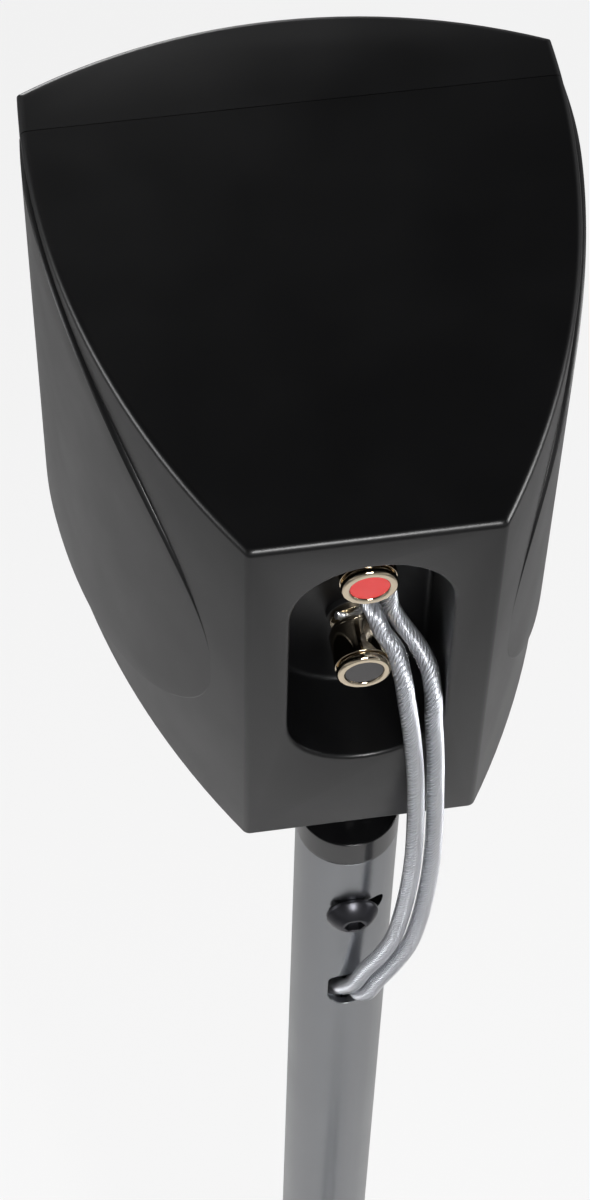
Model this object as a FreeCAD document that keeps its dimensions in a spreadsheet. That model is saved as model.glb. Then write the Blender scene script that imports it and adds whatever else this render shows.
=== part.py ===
"""A satellite loudspeaker on its floor stand, as an assembly of separate pieces.

Units are millimetres. The origin is on the floor, on the pole's axis. +Z is up, the loudspeaker faces
-Y, and its terminals and the cable hole in the pole face +Y.
"""

import FreeCAD, Part

import math
import os
import re
from types import SimpleNamespace

import Sketcher
from FreeCAD import Placement, Rotation, Vector

# ---------------------------------------------------------------- driving dimensions

SIZES = {
    # base
    "base_diameter": 280.0,
    "base_thickness": 8.0,
    "base_bevel": 2.0,
    "floor_pad_diameter": 24.0,
    "floor_pad_height": 4.0,
    "floor_pad_circle": 230.0,
    # pole
    "pole_diameter": 27.0,
    "pole_wall": 2.0,
    "pole_length": 800.0,
    "foot_insert_length": 24.0,
    "foot_screw_diameter": 10.0,
    "foot_screw_head_diameter": 19.0,
    "foot_screw_length": 26.0,
    "foot_ring_diameter": 50.0,
    "foot_ring_height": 13.0,
    # cable holes in the pole
    "cable_hole_width": 10.4,
    "cable_hole_height": 18.4,
    "cable_hole_drop": 75.6,
    "exit_hole_rise": 40.0,
    # swivel
    "collar_height": 10.6,
    "spigot_length": 45.0,
    "spigot_clearance": 0.05,
    "seat_gap": 0.1,
    "clamp_drop": 27.2,
    "clamp_screw_diameter": 8.0,
    "clamp_screw_reach": 13.0,
    "clamp_head_diameter": 14.0,
    "clamp_head_height": 4.4,
    "clamp_dome_radius": 8.4,
    "clamp_socket": 5.0,
    "slot_clearance": 0.2,
    "swivel_forward": 22.0,
    "swivel_back": 7.0,
    # neck under the loudspeaker
    "neck_height": 15.6,
    "neck_diameter": 11.6,
    "neck_flange_diameter": 22.0,
    "neck_flange_thickness": 3.0,
    "pad_thickness": 1.5,
    "mount_screw_diameter": 6.0,
    "mount_head_diameter": 10.0,
    "mount_head_height": 6.0,
    "mount_head_depth": 15.0,
    "hole_clearance": 0.3,
    # cabinet, depths counted forward from its rear face
    "axis_to_rear": 15.0,
    "cabinet_height": 131.6,
    "rear_width": 58.0,
    "middle_width": 103.6,
    "middle_depth": 45.0,
    "front_width": 130.2,
    "corner_depth": 137.5,
    "front_bow": 15.1,
    "seam_depth": 125.2,
    "cabinet_wall": 4.0,
    "ledge_width": 3.0,
    "ledge_depth": 3.2,
    "insert_diameter": 10.0,
    "insert_length": 14.0,
    "insert_boss_diameter": 18.0,
    # terminal cup and binding posts
    "cup_width": 38.0,
    "cup_height": 85.8,
    "cup_drop": 11.7,
    "cup_depth": 23.0,
    "cup_wall": 2.5,
    "post_drop": 28.7,
    "post_pitch": 37.6,
    "post_stem_diameter": 5.0,
    "post_flange_diameter": 12.0,
    "post_flange_thickness": 1.5,
    "post_insulator_thickness": 1.5,
    "post_insulator_diameter": 13.0,
    "wire_gap": 2.4,
    "clamp_washer_thickness": 0.8,
    "knob_diameter": 13.7,
    "knob_length": 11.8,
    "knob_ring_diameter": 12.6,
    "knob_groove_diameter": 11.6,
    "knob_ring_length": 1.5,
    "knob_groove_length": 0.9,
    "knob_insert_diameter": 9.2,
    "knob_insert_thickness": 0.9,
    "knob_insert_recess": 0.4,
    "running_clearance": 0.05,
    # baffle and drivers, heights counted up from the cabinet's underside
    "baffle_thickness": 6.0,
    "baffle_screw_height": 20.0,
    "baffle_screw_half_spacing": 55.0,
    "baffle_screw_radius": 1.45,
    "woofer_height": 47.0,
    "woofer_flange_radius": 42.0,
    "woofer_cutout_radius": 36.0,
    "woofer_flange_thickness": 3.0,
    "woofer_screw_circle": 79.0,
    "woofer_screw_radius": 1.45,
    "basket_depth": 30.0,
    "basket_wall": 1.2,
    "magnet_radius": 30.0,
    "magnet_thickness": 12.0,
    "pole_piece_radius": 12.0,
    "gap_radius": 13.8,
    "coil_radius": 12.6,
    "cone_radius": 30.0,
    "tweeter_height": 108.6,
    "tweeter_flange_radius": 18.8,
    "tweeter_body_radius": 14.0,
    "tweeter_dome_radius": 12.5,
    "tweeter_body_depth": 18.0,
    "tweeter_screw_circle": 33.0,
    "tweeter_screw_radius": 1.1,
    # grille
    "grille_gap": 0.2,
    "grille_wall": 2.4,
    "grille_cloth_thickness": 1.2,
    "grille_cloth_recess": 0.8,
    "grille_corner_radius": 5.0,
    "peg_radius": 2.0,
    "peg_length": 5.0,
    "peg_inset": 7.4,
    # crossover
    "board_width": 64.0,
    "board_length": 42.0,
    "board_thickness": 1.6,
    "board_depth": 31.0,
    "board_rise": 4.0,
    "inductor_diameter": 22.0,
    "inductor_height": 9.0,
    "capacitor_diameter": 11.0,
    "capacitor_length": 24.0,
    # loudspeaker cable
    "conductor_diameter": 4.5,
    "strand_bundle_diameter": 2.0,
    "lead_width": 9.0,
    "lead_offset": 2.3,
    "coil_inner_radius": 41.0,
    "coil_turns_per_layer": 3.0,
    "coil_pitch": 9.5,
    "coil_centre": 226.0,
}

doc = FreeCAD.newDocument("speaker_stand")
sheet = doc.addObject("Spreadsheet::Sheet", "sizes")
for row, (alias, number) in enumerate(SIZES.items(), start=1):
    sheet.set(f"A{row}", alias.replace("_", " "))
    sheet.set(f"B{row}", str(number))
    sheet.setAlias(f"B{row}", alias)
doc.recompute()

s = SimpleNamespace(**{alias: float(sheet.get(alias)) for alias in SIZES})
pieces = []

# Heights and depths that several pieces share.
base_top = s.floor_pad_height + s.base_thickness
pole_top = base_top + s.pole_length
collar_top = pole_top + s.collar_height
cabinet_floor = collar_top + s.neck_height
cabinet_top = cabinet_floor + s.cabinet_height
seam_y = s.axis_to_rear - s.seam_depth
cup_back_y = s.axis_to_rear - s.cup_depth
ABOVE_BASE = "floor_pad_height + base_thickness"
ABOVE_POLE = f"{ABOVE_BASE} + pole_length"
ABOVE_NECK = f"{ABOVE_POLE} + collar_height + neck_height"
SEAM = "axis_to_rear - seam_depth"
CUP_BACK = "axis_to_rear - cup_depth"

FACING_FRONT = Rotation(Vector(1, 0, 0), 90)
FACING_REAR = Rotation(Vector(1, 0, 0), -90)


# ---------------------------------------------------------------- how pieces are made


def in_sheet(expression):
    """The expression with each driving dimension's name pointing into the sheet."""
    return re.sub(r"[A-Za-z_]\w*", lambda word: "sizes." * (word[0] in SIZES) + word[0], expression)


def worked_out(expression):
    """The number that an expression of driving dimensions has now."""
    sheet.set("D1", "=" + re.sub(r"sizes\.", "", in_sheet(expression)))
    sheet.recompute()
    return float(sheet.get("D1"))


def bind(thing, **formulas):
    """Bind properties to the sheet. Two underscores in a property's name stand for a full stop."""
    for name, expression in formulas.items():
        thing.setExpression(name.replace("__", "."), in_sheet(expression))
    return thing


def place(thing, x="0", y="0", z="0", turn=None):
    """Set a piece's turn, and bind its place to the sheet."""
    thing.Placement = Placement(Vector(0, 0, 0), turn or Rotation())
    for axis, expression in zip("xyz", (x, y, z)):
        if expression != "0":
            thing.setExpression(f"Placement.Base.{axis}", in_sheet(expression))
    return thing


def turned(name, profile, **where):
    """A turned piece: a closed profile of (radius, height) corners, revolved about its own axis.

    A third item, a radius, makes the edge to the next corner an arc: positive turns left on the way.
    """
    body = doc.addObject("PartDesign::Body", name)
    sketch = body.newObject("Sketcher::SketchObject", name + "_profile")
    plane = [feature for feature in body.Origin.OriginFeatures if feature.Role == "XZ_Plane"][0]
    sketch.AttachmentSupport = [(plane, "")]
    sketch.MapMode = "FlatFace"
    corners = [Vector(worked_out(corner[0]), worked_out(corner[1]), 0) for corner in profile]
    ends = []
    for i, (corner, start) in enumerate(zip(profile, corners)):
        finish = corners[(i + 1) % len(corners)]
        if len(corner) == 2:
            sketch.addGeometry(Part.LineSegment(start, finish), False)
            ends.append((1, 2))
            continue
        radius = worked_out(corner[2])
        chord = finish - start
        rise = abs(radius) - math.sqrt(max(radius * radius - chord.Length ** 2 / 4, 0))
        side = Vector(chord.y, -chord.x, 0).normalize() * math.copysign(rise, radius)
        sketch.addGeometry(Part.Arc(start, (start + finish) / 2 + side, finish), False)
        ends.append((1, 2) if radius > 0 else (2, 1))
    for i in range(len(profile)):
        following = (i + 1) % len(profile)
        joined = (i, ends[i][1], following, ends[following][0])
        sketch.addConstraint(Sketcher.Constraint("Coincident", *joined))
    for i, corner in enumerate(profile):
        for kind, axis, expression, now in (
            ("DistanceX", -2, corner[0], corners[i].x),
            ("DistanceY", -1, corner[1], corners[i].y),
        ):
            if expression == "0":
                sketch.addConstraint(Sketcher.Constraint("PointOnObject", i, ends[i][0], axis))
                continue
            index = sketch.addConstraint(Sketcher.Constraint(kind, -1, 1, i, ends[i][0], now))
            sketch.setExpression(f"Constraints[{index}]", in_sheet(expression))
        if len(corner) == 3:
            size = abs(worked_out(corner[2]))
            index = sketch.addConstraint(Sketcher.Constraint("Radius", i, size))
            sketch.setExpression(f"Constraints[{index}]", in_sheet(corner[2].lstrip("-")))
    doc.recompute()
    feature = body.newObject("PartDesign::Revolution", name + "_turning")
    feature.Profile = sketch
    feature.ReferenceAxis = (sketch, ["V_Axis"])
    feature.Angle = 360
    place(body, **where)
    doc.recompute()
    return body


def ring(name, inner, outer, low, high, **where):
    """A plain turned ring, tube or disc, from the expressions of its radii and heights."""
    if inner == "0":
        return turned(name, [("0", low), (outer, low), (outer, high), ("0", high)], **where)
    corners = [(inner, low), (outer, low), (outer, high), (inner, high)]
    return turned(name, corners, **where)


def rod(name, radius, height, **where):
    """A round bar or a round cutter."""
    return place(bind(doc.addObject("Part::Cylinder", name), Radius=radius, Height=height), **where)


def hexagon(name, across_flats, height, **where):
    """A hexagonal bar or a hexagonal cutter."""
    prism = doc.addObject("Part::Prism", name)
    prism.Polygon = 6
    bind(prism, Circumradius=f"({across_flats}) / sqrt(3)", Height=height)
    return place(prism, **where)


def cut(name, base, *tools):
    """The base with every tool taken out of it."""
    tool = tools[0]
    if len(tools) > 1:
        tool = doc.addObject("Part::MultiFuse", name + "_cutters")
        tool.Shapes = list(tools)
    result = doc.addObject("Part::Cut", name)
    result.Base = base
    result.Tool = tool
    doc.recompute()
    return result


def fused(name, *things):
    """Several shapes joined in one piece."""
    result = doc.addObject("Part::MultiFuse", name)
    result.Shapes = list(things)
    doc.recompute()
    return result


def made(name, shape):
    """A piece whose shape is worked out in this file from the sheet's values."""
    feature = doc.addObject("Part::Feature", name)
    feature.Shape = shape
    return feature


def group(name, pattern, places):
    """Identical pieces: copies of a pattern at several placements."""
    copies = []
    for where in places:
        copy = pattern.Shape.copy()
        copy.Placement = where.multiply(copy.Placement)
        copies.append(copy)
    return made(name, Part.Compound(copies))


def keep(label, thing):
    """List a piece, under the name that its file gets."""
    thing.Label = label
    pieces.append(thing)
    return thing


# ---------------------------------------------------------------- cable paths


def round_cornered(points, share=0.45):
    """A path of straight runs joined by tangent arcs, each as large as its two runs allow."""
    points = [Vector(*point) for point in points]
    edges, radii, here = [], [], points[0]
    for before, corner, after in zip(points, points[1:], points[2:]):
        arriving, leaving = corner - before, after - corner
        half_turn = arriving.getAngle(leaving) / 2
        reach = share * min(arriving.Length, leaving.Length)
        radii.append(reach / math.tan(half_turn))
        start = corner - arriving.normalize() * reach
        finish = corner + leaving.normalize() * reach
        inward = (leaving - arriving).normalize()
        middle = corner + inward * radii[-1] * (1 / math.cos(half_turn) - 1)
        edges += [Part.LineSegment(here, start).toShape(), Part.Arc(start, middle, finish).toShape()]
        here = finish
    edges.append(Part.LineSegment(here, points[-1]).toShape())
    return Part.Wire(edges), radii


def swept(path, diameter, name):
    """A round tube along a path, with its volume compared with its section times its length."""
    first = path.Edges[0]
    start = first.valueAt(first.FirstParameter)
    section = Part.Circle(start, first.tangentAt(first.FirstParameter), diameter / 2).toShape()
    tube = path.makePipeShell([Part.Wire(section)], True, False)
    expected = math.pi * diameter ** 2 / 4 * path.Length
    print(f"{name}: length {path.Length:.0f}, volume {tube.Volume / expected:.4f} of what it should be")
    return tube


def cable(name, points, diameter):
    """A cable's tube through a list of points, with its tightest bend printed."""
    path, radii = round_cornered(points)
    print(f"{name}: tightest bend {min(radii):.1f}, bends", " ".join(f"{r:.0f}" for r in radii))
    return swept(path, diameter, name)


# ---------------------------------------------------------------- plan outline of the loudspeaker


def circle_through(first, second, third):
    """The centre and radius of the circle through three plan points."""
    (ax, ay), (bx, by), (cx, cy) = first, second, third
    d = 2 * (ax * (by - cy) + bx * (cy - ay) + cx * (ay - by))
    a, b, c = ax * ax + ay * ay, bx * bx + by * by, cx * cx + cy * cy
    ux = (a * (by - cy) + b * (cy - ay) + c * (ay - by)) / d
    uy = (a * (cx - bx) + b * (ax - cx) + c * (bx - ax)) / d
    return (ux, uy), math.hypot(ax - ux, ay - uy)


side_centre, side_radius = circle_through(
    (s.rear_width / 2, 0), (s.middle_width / 2, s.middle_depth), (s.front_width / 2, s.corner_depth)
)
bow_radius = ((s.front_width / 2) ** 2 + s.front_bow ** 2) / (2 * s.front_bow)
bow_centre_depth = s.corner_depth + s.front_bow - bow_radius


def half_width(depth, inset=0.0):
    """Half the loudspeaker's width at a depth in front of its rear face, less a wall."""
    radius = side_radius - inset
    return side_centre[0] + math.sqrt(radius ** 2 - (depth - side_centre[1]) ** 2)


def plan_point(x, depth, height=0.0):
    """A point in plan, from its depth in front of the rear face."""
    return Vector(x, s.axis_to_rear - depth, height)


def slab(start, finish, inset, low, high, bowed=False):
    """The loudspeaker's plan outline between two depths, less a wall, as a block between two heights."""
    middle = (start + finish) / 2
    near, far = half_width(start, inset), half_width(finish, inset)
    waist = half_width(middle, inset)
    edges = [
        Part.LineSegment(plan_point(-near, start), plan_point(near, start)),
        Part.Arc(plan_point(near, start), plan_point(waist, middle), plan_point(far, finish)),
    ]
    right, left = plan_point(far, finish), plan_point(-far, finish)
    if bowed:
        edges.append(Part.Arc(right, plan_point(0, finish + s.front_bow), left))
    else:
        edges.append(Part.LineSegment(right, left))
    edges.append(Part.Arc(left, plan_point(-waist, middle), plan_point(-near, start)))
    face = Part.Face(Part.Wire([edge.toShape() for edge in edges]))
    face.translate(Vector(0, 0, low))
    return face.extrude(Vector(0, 0, high - low))


def obround(width, height, start, finish, centre_height):
    """A bar with a tall round-ended section, lying along the depth between two depths."""
    half, straight = width / 2, (height - width) / 2
    low, high = centre_height - straight, centre_height + straight
    y = s.axis_to_rear - start
    corners = [Vector(x, y, z) for x, z in ((-half, low), (half, low), (half, high), (-half, high))]
    edges = [
        Part.Arc(corners[0], Vector(0, y, low - half), corners[1]),
        Part.LineSegment(corners[1], corners[2]),
        Part.Arc(corners[2], Vector(0, y, high + half), corners[3]),
        Part.LineSegment(corners[3], corners[0]),
    ]
    face = Part.Face(Part.Wire([edge.toShape() for edge in edges]))
    return face.extrude(Vector(0, start - finish, 0))


def bar(radius, x, height, start, finish):
    """A round bar along the depth, between two depths."""
    centre = plan_point(x, start, height)
    return Part.makeCylinder(radius, finish - start, centre, Vector(0, -1, 0))


# ---------------------------------------------------------------- base and pole

plate = turned(
    "plate",
    [
        ("0", "0"),
        ("base_diameter / 2", "0"),
        ("base_diameter / 2", "base_thickness - base_bevel"),
        ("base_diameter / 2 - base_bevel", "base_thickness"),
        ("0", "base_thickness"),
    ],
    z="floor_pad_height",
)
COUNTERSINK_RISE = "(foot_screw_head_diameter - foot_screw_diameter) / 2"
screw_way = turned(
    "foot_screw_way",
    [
        ("0", "0"),
        ("foot_screw_head_diameter / 2 + hole_clearance", "0"),
        ("foot_screw_diameter / 2 + hole_clearance", COUNTERSINK_RISE),
        ("foot_screw_diameter / 2 + hole_clearance", "base_thickness"),
        ("0", "base_thickness"),
    ],
    z="floor_pad_height",
)
keep("base_plate", cut("drilled_plate", plate, screw_way))

pad_pattern = ring("floor_pad", "0", "floor_pad_diameter / 2", "0", "floor_pad_height")
pad_places = []
for quarter in range(4):
    bearing = math.radians(45 + 90 * quarter)
    spot = Vector(math.cos(bearing), math.sin(bearing), 0) * (s.floor_pad_circle / 2)
    pad_places.append(Placement(spot, Rotation()))
keep("floor_pads", group("four_floor_pads", pad_pattern, pad_places))

foot_screw = turned(
    "foot_screw_turning",
    [
        ("0", "0"),
        ("foot_screw_head_diameter / 2", "0"),
        ("foot_screw_diameter / 2", COUNTERSINK_RISE),
        ("foot_screw_diameter / 2", "foot_screw_length"),
        ("0", "foot_screw_length"),
    ],
    z="floor_pad_height + hole_clearance",
)
foot_socket = hexagon("foot_screw_socket", "foot_screw_diameter * 0.6", "3", z="floor_pad_height")
keep("foot_screw", cut("socketed_foot_screw", foot_screw, foot_socket))

keep(
    "foot_insert",
    ring(
        "foot_insert_turning",
        "foot_screw_diameter / 2",
        "pole_diameter / 2 - pole_wall",
        "0",
        "foot_insert_length",
        z=ABOVE_BASE,
    ),
)
keep(
    "foot_ring",
    turned(
        "foot_ring_turning",
        [
            ("pole_diameter / 2", "0"),
            ("foot_ring_diameter / 2", "0"),
            ("foot_ring_diameter / 2", "foot_ring_height * 0.25"),
            ("foot_ring_diameter / 2 - 3", "foot_ring_height * 0.55"),
            ("pole_diameter / 2 + 3", "foot_ring_height"),
            ("pole_diameter / 2", "foot_ring_height"),
        ],
        z=ABOVE_BASE,
    ),
)

SLOT_HEIGHT = "clamp_screw_diameter + 2 * slot_clearance"
SLOT_LEVEL = f"{ABOVE_POLE} - clamp_drop"
slot_margin = 1.0
slot_turn = Rotation(Vector(0, 0, 1), 90 - s.swivel_back - slot_margin)
slot_sweep = rod("slot_sweep", "pole_diameter", SLOT_HEIGHT, z=f"{SLOT_LEVEL} - ({SLOT_HEIGHT}) / 2")
slot_sweep.Placement.Rotation = slot_turn
bind(slot_sweep, Angle=f"swivel_back + swivel_forward + {2 * slot_margin}")
slot_ends = []
for side, swing in (("back", -s.swivel_back - slot_margin), ("forward", s.swivel_forward + slot_margin)):
    aim = Rotation(Vector(0, 0, 1), swing).multiply(FACING_REAR)
    end = rod(f"slot_end_{side}", f"({SLOT_HEIGHT}) / 2", "pole_diameter", z=SLOT_LEVEL, turn=aim)
    slot_ends.append(end)


def pole_hole(name, level):
    """The cutter for a round-ended hole through the pole's rear wall."""
    half, straight = "cable_hole_width / 2", "(cable_hole_height - cable_hole_width) / 2"
    block = doc.addObject("Part::Box", name + "_block")
    bind(
        block,
        Length="cable_hole_width",
        Width="pole_diameter",
        Height="cable_hole_height - cable_hole_width",
    )
    place(block, x=f"0 - {half}", z=f"{level} - {straight}")
    upper = rod(name + "_top", half, "pole_diameter", z=f"{level} + {straight}", turn=FACING_REAR)
    lower = rod(name + "_end", half, "pole_diameter", z=f"{level} - {straight}", turn=FACING_REAR)
    return fused(name, block, upper, lower)


pole_blank = ring(
    "pole_blank", "pole_diameter / 2 - pole_wall", "pole_diameter / 2", "0", "pole_length", z=ABOVE_BASE
)
keep(
    "pole_tube",
    cut(
        "pierced_pole",
        pole_blank,
        slot_sweep,
        *slot_ends,
        pole_hole("cable_hole", f"{ABOVE_POLE} - cable_hole_drop"),
        pole_hole("exit_hole", f"{ABOVE_BASE} + exit_hole_rise"),
    ),
)

# ---------------------------------------------------------------- swivel plug and its screws

NECK_TOP = "collar_height + neck_height - pad_thickness"
plug_blank = turned(
    "plug_blank",
    [
        ("0", "0 - spigot_length"),
        ("pole_diameter / 2 - pole_wall - spigot_clearance", "0 - spigot_length"),
        ("pole_diameter / 2 - pole_wall - spigot_clearance", "seat_gap"),
        ("pole_diameter / 2", "seat_gap"),
        ("pole_diameter / 2", "collar_height"),
        ("neck_diameter / 2", "collar_height"),
        ("neck_diameter / 2", f"{NECK_TOP} - neck_flange_thickness - 3"),
        ("neck_flange_diameter / 2", f"{NECK_TOP} - neck_flange_thickness"),
        ("neck_flange_diameter / 2", NECK_TOP),
        ("0", NECK_TOP),
    ],
    z=ABOVE_POLE,
)
plug_bore = ring(
    "plug_bore",
    "0",
    "mount_screw_diameter / 2 + hole_clearance",
    "0 - spigot_length",
    NECK_TOP,
    z=ABOVE_POLE,
)
plug_counterbore = ring(
    "plug_counterbore",
    "0",
    "mount_head_diameter / 2 + hole_clearance",
    "0 - spigot_length",
    "0 - mount_head_depth",
    z=ABOVE_POLE,
)
plug_cross_hole = rod(
    "plug_cross_hole", "clamp_screw_diameter / 2", "pole_diameter", z=SLOT_LEVEL, turn=FACING_REAR
)
keep("swivel_plug", cut("bored_plug", plug_blank, plug_bore, plug_counterbore, plug_cross_hole))

clamp_blank = turned(
    "clamp_screw_turning",
    [
        ("0", "0 - clamp_screw_reach"),
        ("clamp_screw_diameter / 2", "0 - clamp_screw_reach"),
        ("clamp_screw_diameter / 2", "0"),
        ("clamp_head_diameter / 2", "0"),
        ("clamp_head_diameter / 2", "0.8", "clamp_dome_radius"),
        ("3.4", "clamp_head_height"),
        ("0", "clamp_head_height"),
    ],
    y="pole_diameter / 2 + seat_gap",
    z=SLOT_LEVEL,
    turn=FACING_REAR,
)
clamp_socket = hexagon(
    "clamp_screw_socket",
    "clamp_socket",
    "3",
    y="pole_diameter / 2 + seat_gap + clamp_head_height - 2.6",
    z=SLOT_LEVEL,
    turn=FACING_REAR,
)
keep("clamp_screw", cut("socketed_clamp_screw", clamp_blank, clamp_socket))

keep(
    "isolation_pad",
    ring(
        "isolation_pad_disc",
        "mount_screw_diameter / 2 + hole_clearance",
        "neck_flange_diameter / 2",
        "0 - pad_thickness",
        "0",
        z=ABOVE_NECK,
    ),
)
mount_blank = turned(
    "mount_screw_turning",
    [
        ("0", "0 - mount_head_height"),
        ("mount_head_diameter / 2", "0 - mount_head_height"),
        ("mount_head_diameter / 2", "0"),
        ("mount_screw_diameter / 2", "0"),
        ("mount_screw_diameter / 2", "mount_head_depth + collar_height + neck_height + insert_length"),
        ("0", "mount_head_depth + collar_height + neck_height + insert_length"),
    ],
    z=f"{ABOVE_POLE} - mount_head_depth",
)
mount_socket = hexagon(
    "mount_screw_socket", "5", "3", z=f"{ABOVE_POLE} - mount_head_depth - mount_head_height"
)
keep("mount_screw", cut("socketed_mount_screw", mount_blank, mount_socket))
keep(
    "mount_insert",
    ring(
        "mount_insert_turning",
        "mount_screw_diameter / 2",
        "insert_diameter / 2",
        "cabinet_wall",
        "cabinet_wall + insert_length",
        z=ABOVE_NECK,
    ),
)

# ---------------------------------------------------------------- cabinet

wall = s.cabinet_wall
baffle_back = s.seam_depth - s.baffle_thickness
ledge_back = baffle_back - s.ledge_depth
ledge_inset = wall + s.ledge_width
cup_height_above = cabinet_top - s.cup_drop - s.cup_height / 2
post_heights = {
    "red": cabinet_top - s.post_drop,
    "black": cabinet_top - s.post_drop - s.post_pitch,
}
baffle_screw_spots = [
    (side * s.baffle_screw_half_spacing, level)
    for side in (-1, 1)
    for level in (
        cabinet_floor + s.baffle_screw_height,
        cabinet_top - s.baffle_screw_height,
    )
]
baffle_screw_length = 14.0
board_posts = [
    (side * (s.board_width / 2 - 4), s.board_depth + along)
    for side in (-1, 1)
    for along in (4, s.board_length - 4)
]
board_floor = cabinet_floor + wall + s.board_rise
board_screw_radius = 1.2
insert_low, insert_high = cabinet_floor, cabinet_floor + wall + s.insert_length


def cabinet_shape():
    """The moulded box: outer walls, ledge for the baffle, terminal cup and screw bosses."""
    outer = slab(0, s.seam_depth, 0, cabinet_floor, cabinet_top)
    outer = outer.makeFillet(2.0, [e for e in outer.Edges if is_upright(e) and e.Vertexes[0].Y > 0])
    hollow = slab(wall, ledge_back, wall, cabinet_floor + wall, cabinet_top - wall)
    opening = slab(
        ledge_back - 1, baffle_back + 1, ledge_inset, cabinet_floor + ledge_inset, cabinet_top - ledge_inset
    )
    pocket = slab(baffle_back, s.seam_depth + 1, wall, cabinet_floor + wall, cabinet_top - wall)
    shell = outer.cut(hollow).cut(opening).cut(pocket)
    cup_outside = obround(
        s.cup_width + 2 * s.cup_wall,
        s.cup_height + 2 * s.cup_wall,
        wall / 2,
        s.cup_depth + s.cup_wall,
        cup_height_above,
    )
    insert_boss = Part.makeCylinder(
        s.insert_boss_diameter / 2, insert_high - insert_low, Vector(0, 0, insert_low)
    )
    bosses = [cup_outside, insert_boss]
    for x, level in baffle_screw_spots:
        reach = bar(4.0, x, level, baffle_back - baffle_screw_length, baffle_back)
        bosses.append(reach.common(outer))
    for x, depth in board_posts:
        spot = plan_point(x, depth, cabinet_floor + wall / 2)
        bosses.append(Part.makeCylinder(3.0, board_floor - spot.z, spot))
    shell = shell.fuse(bosses)
    cavity = obround(s.cup_width, s.cup_height, -1, s.cup_depth, cup_height_above)
    stem_hole = s.post_stem_diameter / 2 + s.hole_clearance
    holes = [cavity]
    for level in post_heights.values():
        holes.append(bar(stem_hole, 0, level, s.cup_depth - 1, s.cup_depth + s.cup_wall + 1))
    for x, level in baffle_screw_spots:
        holes.append(bar(s.baffle_screw_radius, x, level, baffle_back - 11, baffle_back + 1))
    for x, depth in board_posts:
        spot = plan_point(x, depth, board_floor - 3)
        holes.append(Part.makeCylinder(board_screw_radius, 4, spot))
    screw_radius = s.mount_screw_diameter / 2 + s.hole_clearance
    holes.append(Part.makeCylinder(screw_radius, wall + 1, Vector(0, 0, cabinet_floor - 1)))
    insert_bore = Part.makeCylinder(
        s.insert_diameter / 2, s.insert_length + 1, Vector(0, 0, cabinet_floor + wall)
    )
    holes.append(insert_bore)
    return shell.cut(holes)


def is_upright(edge):
    """True for a straight edge along Z."""
    return len(edge.Vertexes) == 2 and edge.tangentAt(edge.FirstParameter).cross(Vector(0, 0, 1)).Length < 1e-6


keep("cabinet", made("cabinet_moulding", cabinet_shape()))


def baffle_shape():
    """The board that carries the drivers, with its cut-outs, sockets and screw holes."""
    low, high = cabinet_floor + wall, cabinet_top - wall
    board = slab(baffle_back, s.seam_depth, wall, low, high)
    through = (baffle_back - 1, s.seam_depth + 1)
    tools = [
        bar(s.woofer_cutout_radius, 0, cabinet_floor + s.woofer_height, *through),
        bar(s.tweeter_body_radius + s.hole_clearance, 0, cabinet_floor + s.tweeter_height, *through),
    ]
    tools += [bar(s.baffle_screw_radius, x, level, *through) for x, level in baffle_screw_spots]
    tools += [bar(s.woofer_screw_radius, x, level, *through) for x, level in woofer_screw_spots]
    tools += [bar(s.tweeter_screw_radius, x, level, *through) for x, level in tweeter_screw_spots]
    tools += [bar(s.peg_radius + 0.1, x, level, *through) for x, level in peg_spots]
    return board.cut(tools)


peg_spots = [
    (side * (half_width(s.seam_depth) - s.peg_inset), level)
    for side in (-1, 1)
    for level in (cabinet_floor + s.peg_inset, cabinet_top - s.peg_inset)
]


def on_circle(diameter, count, first_bearing, height):
    """Spots spaced evenly on a circle in the front's plane, as (x, height)."""
    bearings = [math.radians(first_bearing + 360 * i / count) for i in range(count)]
    centre = cabinet_floor + height
    return [(diameter / 2 * math.cos(b), centre + diameter / 2 * math.sin(b)) for b in bearings]


woofer_screw_spots = on_circle(s.woofer_screw_circle, 4, 45, s.woofer_height)
tweeter_screw_spots = on_circle(s.tweeter_screw_circle, 3, 90, s.tweeter_height)
keep("baffle", made("baffle_board", baffle_shape()))


def screw_pattern(name, radius, length, head_radius, head_height):
    """A small pan-head screw along its own axis, its head's underside at zero."""
    return turned(
        name,
        [
            ("0", f"0 - {length}"),
            (radius, f"0 - {length}"),
            (radius, "0"),
            (head_radius, "0"),
            (head_radius, f"{head_height} * 0.5"),
            (f"{head_radius} * 0.7", head_height),
            ("0", head_height),
        ],
    )


baffle_screw = screw_pattern("baffle_screw", "baffle_screw_radius", "16", "2.8", "1.8")
spots = [Placement(Vector(x, seam_y, level), FACING_FRONT) for x, level in baffle_screw_spots]
keep("baffle_screws", group("four_baffle_screws", baffle_screw, spots))

# ---------------------------------------------------------------- woofer

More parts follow.
